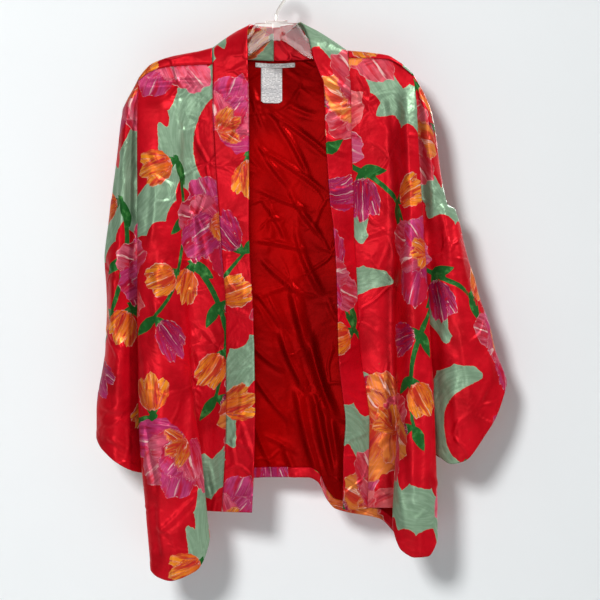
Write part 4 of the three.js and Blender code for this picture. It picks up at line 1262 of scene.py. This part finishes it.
class KimonoColours(bpy.types.PropertyGroup):
    """Colours of the jacket, its hanger and the stage, and how strongly the labels' flecks show."""

    ground: shade("Ground", "Red of the printed satin", 208, 10, 30)
    ground_deep: shade("Deep ground", "Red in the ground's darker washes", 176, 4, 20)
    leaf: shade("Leaf", "Sage of the broad leaves", 122, 150, 122)
    leaf_pale: shade("Pale leaf", "Sage of the lighter strokes", 140, 168, 140)
    leaf_rim: shade("Leaf rim", "Sage along a leaf's edge", 150, 172, 138)
    stem: shade("Stem", "Green of stems and small leaves", 30, 92, 36)
    stem_pale: shade("Pale stem", "Green of the lighter strokes", 72, 136, 66)
    bloom_red: shade("Red bloom", "Red washed over the petals", 188, 10, 32)
    bloom_deep: shade("Deep bloom", "Crimson brushed into the petals", 142, 8, 46)
    bloom_pale: shade("Pale bloom", "Pink brushed into the petals", 216, 126, 146)
    accent: shade("Accent", "Pale line along ribs and rims", 232, 196, 188)
    lining: shade("Lining", "Red of the plain lining", 152, 0, 1)
    lining_deep: shade("Deep lining", "Red of the lining's darker patches", 128, 0, 1)
    label: shade("Label", "White of the labels", 226, 223, 221)
    label_grey: shade("Worn label", "Grey of the labels' worn patches", 200, 199, 200)
    label_mark: shade("Label mark", "Grey of the labels' flecks", 110, 108, 112)
    mark_strength: amount("Mark strength", "How strongly the labels' flecks show", 0.8, min=0, max=1)
    plastic: shade("Plastic", "Tone of the clear hanger", 232, 230, 224)
    wall: shade("Wall", "Tone of the wall and floor", 239, 242, 243)


class KimonoSizes(bpy.types.PropertyGroup):
    """Sizes of the cloth and of the stage."""

    grid: bpy.props.IntProperty(
        name="Grid", description="Steps of each panel's grid", default=FULL_GRID, min=2, max=8
    )
    crease_depth: amount("Crease depth", "Share of the creases' full height", 1.25, min=0, max=2)
    satin_roughness: amount("Satin roughness", "Roughness of the satin's shine", 0.38, min=0, max=1)
    camera_distance: amount("Camera distance", "From the camera to the jacket", 3.2, unit="LENGTH")
    picture_width: amount("Picture width", "Width seen at the jacket", 0.99, unit="LENGTH")
    wall_depth: amount("Wall depth", "From the hook back to the wall", 0.075, unit="LENGTH")
    room_light: amount("Room light", "Strength of the light from all round", 0.2, min=0, max=2)
    lamp_power: amount("Lamp power", "Power of the main lamp on the jacket", 270.0, unit="POWER")
    wall_power: amount("Wall power", "Power of the lamp on the wall", 205.0, unit="POWER")


def sizes():
    return bpy.context.scene.kimono_sizes


def colours():
    return bpy.context.scene.kimono_colours


def finish_named(name, make, *values):
    """A finish that several pieces share, made once."""
    return bpy.data.materials.get(name) or make(name, *values)


def print_finish():
    return finish_named("Print satin", print_satin, colours(), sizes())


def lining_finish():
    return finish_named("Lining satin", plain_satin, colours().lining, colours().lining_deep, sizes())


def steps(*counts):
    """Fine steps between the named columns, by the grid size."""
    return spread(*[max(2, round(count * sizes().grid / FULL_GRID)) for count in counts])


def raised(grid, facing, heights):
    return grid + normals_of(grid) * (heights * facing)[..., None]


def hem_turn(grid):
    """The shallow step of a turned hem along a panel's foot."""
    up = np.linalg.norm(grid - grid[:, -1:], axis=-1)
    return HEM_STEP * (1 - fade(up, *HEM_TURN))


def creases_on(grid, rows, seed, count, lean, rise):
    """Heights of a panel's largest creases and of small ones scattered between them."""
    x, drop = grid[..., 0], -grid[..., 2]
    small = rumples(x, drop, seed, count, lean, rise)
    return sizes().crease_depth * (creased(x, drop, rows) + creased(x, drop, small))


def down_rows(count):
    return round(count * sizes().grid / FULL_GRID)


def back_base():
    """The back's columns and its outer face before creasing."""
    columns = steps(*BACK_STEPS)
    return columns, back_grid(columns, WRAP_ROWS, down_rows(BACK_ROWS))


def lining_face():
    """The lining's face towards the wearer, creased."""
    columns, base = back_base()
    behind = base[:, WRAP_ROWS:]
    inner = behind - normals_of(behind) * (2 * CLOTH + SEAM_GAP)
    inset = np.searchsorted(columns, LINING_INSET)
    inner = inner[inset : len(columns) - inset]
    heights = creases_on(inner, LINING_CREASES, seed=11, count=34, lean=48, rise=0.6) + 0.6
    return raised(inner, -1, np.maximum(heights, 0) * fade(-inner[..., 2], 120, 170))


def hem_strip(face, tall, gap):
    """The lowest strip of a lining's face, moved out by a gap."""
    outwards = face - normals_of(face) * gap
    lines = []
    for line in outwards:
        up = np.concatenate([[0], np.cumsum(np.linalg.norm(np.diff(line[::-1], axis=0), axis=1))])
        at = np.linspace(tall, 0, 7)
        lines.append(np.stack([np.interp(at, up, line[::-1, k]) for k in range(3)], -1))
    return np.array(lines)


class MakeBack(bpy.types.Operator):
    """Makes the back panel, its lining and the hem facing"""

    bl_idname = "kimono.make_back"
    bl_label = "Back and lining"

    def execute(self, context):
        columns, base = back_base()
        rows = base.shape[1] - WRAP_ROWS
        hanging = np.concatenate([np.zeros(WRAP_ROWS), fade(np.arange(rows), 0, 30)])
        heights = creases_on(base, BACK_CREASES, seed=3, count=70, lean=60, rise=0.8)
        heights = np.maximum(heights, -0.2) * hanging
        beside_neck = (columns[:-1] >= NECK_COLUMN) & (columns[1:] <= LAST_COLUMN - NECK_COLUMN)
        keep = np.ones((base.shape[0] - 1, base.shape[1] - 1), bool)
        keep[beside_neck, :WRAP_ROWS] = False
        face = raised(base, 1, heights + hem_turn(base))
        face[:, : WRAP_ROWS + 1] = base[:, : WRAP_ROWS + 1]
        made = cloth("back_cloth", face, 1, keep, BACK_CUT, WRAP_ROWS)
        finish_cloth(made, "back_panel", CLOTH, print_finish(), lining_finish())

        front = lining_face()
        lining = cloth("lining_cloth", front, -1)
        finish_cloth(lining, "back_lining", CLOTH, lining_finish())

        strip = hem_strip(front, FACING_TALL, SEAM_GAP + CLOTH / 2)
        facing = cloth("facing_cloth", strip, -1, None, FACING_CUT)
        finish_cloth(facing, "hem_facing", CLOTH / 2, print_finish())
        return {"FINISHED"}


class MakeFronts(bpy.types.Operator):
    """Makes the right and left fronts with their pleats"""

    bl_idname = "kimono.make_fronts"
    bl_label = "Fronts"

    def execute(self, context):
        columns = steps(*FRONT_STEPS)
        for side, name, node, creases, cut, flat in (
            (Right, "right_front", "front_right", RIGHT_FRONT_CREASES, RIGHT_FRONT_CUT, RIGHT_FRONT_FLAT),
            (Left, "left_front", "front_left", LEFT_FRONT_CREASES, LEFT_FRONT_CUT, LEFT_FRONT_FLAT),
        ):
            base = front_grid(side, columns, down_rows(FRONT_ROWS))
            sewn = fade(columns, 0.8, 1.6) * fade(columns[-1] - columns, 0, 0.5)
            below = fade(base[:, :1, 2] - base[..., 2], 2, 14)
            heights = creases_on(base, creases, seed=5 - side.sign, count=46, lean=55, rise=0.8)
            heights = heights * sewn[:, None] * below
            made = cloth(name, raised(base, -side.sign, heights + hem_turn(base)), -side.sign, None, cut)
            finish_cloth(made, node, CLOTH, print_finish(), lining_finish())
        return {"FINISHED"}


class MakeSleeves(bpy.types.Operator):
    """Makes both sleeves, each folded over the arm"""

    bl_idname = "kimono.make_sleeves"
    bl_label = "Sleeves"

    def execute(self, context):
        columns = steps(*SLEEVE_STEPS)
        middle = columns[-1] / 2
        for side, name, node, creases, cut, flat in (
            (Right, "right_sleeve", "sleeve_right", RIGHT_SLEEVE_CREASES, RIGHT_SLEEVE_CUT,
             RIGHT_SLEEVE_FLAT),
            (Left, "left_sleeve", "sleeve_left", LEFT_SLEEVE_CREASES, LEFT_SLEEVE_CUT, LEFT_SLEEVE_FLAT),
        ):
            base = sleeve_head(side, sleeve_grid(side, columns, down_rows(SLEEVE_ROWS)))
            ahead = (1 - fade(columns, middle - 0.15, middle + 0.15))[:, None]
            shown = creases_on(base, creases, seed=8 - side.sign, count=30, lean=70, rise=0.7)
            hidden = creases_on(base, creases, seed=14 - side.sign, count=30, lean=70, rise=0.7)
            sewn = fade(columns, 0, 0.6) * fade(columns[-1] - columns, 0, 0.6)
            below = fade(base[:, :1, 2] - base[..., 2], 2, 14)
            heights = (shown * ahead + hidden * (1 - ahead)) * sewn[:, None] * below
            made = cloth(name, raised(base, -side.sign, heights + hem_turn(base)), -side.sign, None, cut)
            finish_cloth(made, node, CLOTH, print_finish(), lining_finish())
        return {"FINISHED"}


class MakeNeckbands(bpy.types.Operator):
    """Makes both halves of the neckband"""

    bl_idname = "kimono.make_neckbands"
    bl_label = "Neckbands"

    def execute(self, context):
        for side, name, node, creases, cut, flat in (
            (Right, "right_band", "neckband_right", RIGHT_BAND_CREASES, RIGHT_BAND_CUT, RIGHT_BAND_FLAT),
            (Left, "left_band", "neckband_left", LEFT_BAND_CREASES, LEFT_BAND_CUT, LEFT_BAND_FLAT),
        ):
            base = band_grid(side, BAND_STEPS, down_rows(BAND_ROWS), BAND_NECK_ROWS)
            share = np.linspace(0, 1, base.shape[0])
            edge = fade(share, 0, 0.2) * fade(1 - share, -0.05, 0.2)
            below = fade(-base[..., 2], 140, 160)
            heights = creases_on(base, creases, seed=20 - side.sign, count=26, lean=15, rise=0.6)
            heights = heights * edge[:, None] * below
            made = cloth(name, raised(base, -side.sign, heights), -side.sign, None, cut)
            finish_cloth(made, node, BAND_WALL, print_finish())
        return {"FINISHED"}


def neck_label_top(share):
    """Drop of the neck label's sagging top edge at a share of its width."""
    return NECK_LABEL["top"] + NECK_LABEL["sag"] * np.sin(math.pi * share)


def label_across(label, share):
    return label["left"] + (label["right"] - label["left"]) * share


class MakeLabels(bpy.types.Operator):
    """Makes the neck label and the care label, which carry no words"""

    bl_idname = "kimono.make_labels"
    bl_label = "Labels"

    def execute(self, context):
        lining = lining_face()
        share, down = self.shares(*NECK_LABEL_STEPS)
        x = label_across(NECK_LABEL, share)
        neck_drop = neck_label_top(share) + NECK_LABEL["tall"] * down
        neck = self.label("blank_neck_label", "neck_label", lining, x + 0 * down, neck_drop, 0 * down)

        share, down = self.shares(*CARE_LABEL_STEPS)
        x = label_across(CARE_LABEL, share)
        neck_share = (x - NECK_LABEL["left"]) / (NECK_LABEL["right"] - NECK_LABEL["left"])
        top = neck_label_top(neck_share) + NECK_LABEL["tall"] + SEAM_GAP
        foot = NECK_LABEL["top"] + NECK_LABEL["tall"] + CARE_LABEL["tall"]
        foot = foot - CARE_LABEL["corner"] * np.abs(2 * share - 1) ** CARE_LABEL["squareness"]
        drop = top + (foot - top) * down
        crease = ((drop - LABEL_CREASE["drop"]) / LABEL_CREASE["width"]) ** 2
        lift = LABEL_CREASE["rise"] * np.exp(-crease) + CARE_LABEL["corner_lift"] * down**3 * share
        care = self.label("blank_care_label", "care_label", lining, x + 0 * down, drop, lift)
        return {"FINISHED"}

    def shares(self, across, down):
        return np.linspace(0, 1, across)[:, None], np.linspace(0, 1, down)

    def label(self, name, node, lining, x, drop, lift):
        """Lays a label on the lining, whose depth is taken from its points close by."""
        depth = np.empty_like(drop)
        for place in np.ndindex(drop.shape):
            apart = (lining[..., 0] - x[place]) ** 2 + (lining[..., 2] + drop[place]) ** 2
            near = np.exp(-apart / LINING_REACH)
            depth[place] = (near * lining[..., 1]).sum() / near.sum()
        grid = np.stack([x, depth - LABEL_WALL - LABEL_GAP - lift, -drop], -1)
        made = cloth(name, grid, -1)
        satin = finish_named("Label satin", label_satin, colours())
        return finish_cloth(made, node, LABEL_WALL, satin)


class MakeHanger(bpy.types.Operator):
    """Makes the clear moulded hanger with its hook"""

    bl_idname = "kimono.make_hanger"
    bl_label = "Hanger"

    def execute(self, context):
        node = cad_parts["hanger"]
        mesh = node.data.copy()
        mesh.transform(node.matrix_world)
        made = bpy.data.objects.new("clear_hanger", mesh)
        context.scene.collection.objects.link(made)
        bpy.ops.object.select_all(action="DESELECT")
        made.select_set(True)
        context.view_layer.objects.active = made
        bpy.ops.object.mode_set(mode="EDIT")
        bpy.ops.mesh.select_all(action="SELECT")
        bpy.ops.mesh.remove_doubles(threshold=SAME_POINT)
        bpy.ops.mesh.dissolve_limited(angle_limit=FLAT_ENOUGH)
        bpy.ops.object.mode_set(mode="OBJECT")
        bevel = made.modifiers.new("Rounded rim", "BEVEL")
        bevel.width = RIM_ROUNDING
        bevel.segments = 3
        bevel.angle_limit = RIM_SHARPNESS
        bpy.ops.object.shade_smooth_by_angle(angle=RIM_SHARPNESS)
        mesh.materials.clear()
        mesh.materials.append(finish_named("Clear plastic", clear_plastic, colours()))
        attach(made, "root")
        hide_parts("hanger")
        return {"FINISHED"}


class MakeStage(bpy.types.Operator):
    """Makes the wall, floor, lamps and camera"""

    bl_idname = "kimono.make_stage"
    bl_label = "Stage"

    def execute(self, context):
        chosen, tones = sizes(), colours()
        across, up = PICTURE_MIDDLE
        wall_at = (across, chosen.wall_depth, up + WALL_ABOVE)
        bpy.ops.mesh.primitive_plane_add(size=BACKDROP, location=wall_at, rotation=(math.pi / 2, 0, 0))
        wall = context.object
        floor_at = (across, chosen.wall_depth - BACKDROP / 2, up - FLOOR_BELOW)
        bpy.ops.mesh.primitive_plane_add(size=BACKDROP, location=floor_at)
        floor = context.object
        for piece, name in ((wall, "wall"), (floor, "floor")):
            piece.name = name
            bpy.ops.object.select_all(action="DESELECT")
            piece.select_set(True)
            bpy.ops.object.transform_apply(location=True, rotation=True, scale=True)
            piece.data.materials.append(finish_named("Matt paint", matt_paint, tones.wall))
        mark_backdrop(wall, floor)
        jacket = self.group("Lit jacket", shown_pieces())
        room = self.group("Lit room", [wall, floor])
        for name, at, size, share in JACKET_LAMPS:
            self.lamp(name, at, size, chosen.lamp_power * share, jacket)
        self.lamp("Wall lamp", WALL_LAMP_AT, WALL_LAMP_SIZE, chosen.wall_power, room, jacket)
        self.camera(context, chosen, across, up)
        world = bpy.data.worlds.new("Soft room")
        world.use_nodes = True
        air = world.node_tree.nodes["Background"]
        air.inputs["Color"].default_value = (1, 1, 1, 1)
        air.inputs["Strength"].default_value = chosen.room_light
        context.scene.world = world
        context.scene.view_settings.view_transform = "Standard"
        return {"FINISHED"}

    def group(self, name, pieces):
        made = bpy.data.collections.new(name)
        for piece in pieces:
            made.objects.link(piece)
        return made

    def lamp(self, name, at, size, power, lit, casting=None):
        """A round soft lamp for one group, which that group or another shades."""
        data = bpy.data.lights.new(name, "AREA")
        data.shape = "DISK"
        data.size = size
        data.energy = power
        lamp = bpy.data.objects.new(name, data)
        lamp.location = at
        towards = Vector((PICTURE_MIDDLE[0], 0, PICTURE_MIDDLE[1])) - Vector(at)
        lamp.rotation_euler = towards.to_track_quat("-Z", "Y").to_euler()
        lamp.light_linking.receiver_collection = lit
        lamp.light_linking.blocker_collection = casting or lit
        bpy.context.scene.collection.objects.link(lamp)

    def camera(self, context, chosen, across, up):
        data = bpy.data.cameras.new("Front camera")
        data.sensor_width = CAMERA_SENSOR
        data.lens = CAMERA_SENSOR * chosen.camera_distance / chosen.picture_width
        camera = bpy.data.objects.new("Front camera", data)
        camera.location = (across, -chosen.camera_distance, up)
        camera.rotation_euler = (math.pi / 2, 0, 0)
        context.scene.collection.objects.link(camera)
        context.scene.camera = camera


OPERATORS = (MakeBack, MakeFronts, MakeSleeves, MakeNeckbands, MakeLabels, MakeHanger, MakeStage)


class KimonoPanel(bpy.types.Panel):
    """Lists the sizes, colours and pieces of the jacket"""

    bl_idname = "VIEW3D_PT_kimono"
    bl_label = "Kimono Jacket"
    bl_space_type = "VIEW_3D"
    bl_region_type = "UI"
    bl_category = "Kimono"

    def draw(self, context):
        layout = self.layout
        for group in (context.scene.kimono_sizes, context.scene.kimono_colours):
            box = layout.box()
            for name in group.bl_rna.properties.keys():
                if name not in ("rna_type", "name"):
                    box.prop(group, name)
        for operator in OPERATORS:
            layout.operator(operator.bl_idname)


def register():
    for kind in (KimonoColours, KimonoSizes, *OPERATORS, KimonoPanel):
        bpy.utils.register_class(kind)
    bpy.types.Scene.kimono_sizes = bpy.props.PointerProperty(type=KimonoSizes)
    bpy.types.Scene.kimono_colours = bpy.props.PointerProperty(type=KimonoColours)


def unregister():
    del bpy.types.Scene.kimono_colours
    del bpy.types.Scene.kimono_sizes
    for kind in reversed((KimonoColours, KimonoSizes, *OPERATORS, KimonoPanel)):
        bpy.utils.unregister_class(kind)


def main():
    register()
    bpy.ops.kimono.make_back()
    bpy.ops.kimono.make_fronts()
    bpy.ops.kimono.make_sleeves()
    bpy.ops.kimono.make_neckbands()
    bpy.ops.kimono.make_labels()
    bpy.ops.kimono.make_hanger()
    bpy.ops.kimono.make_stage()


if __name__ == "__main__":
    main()
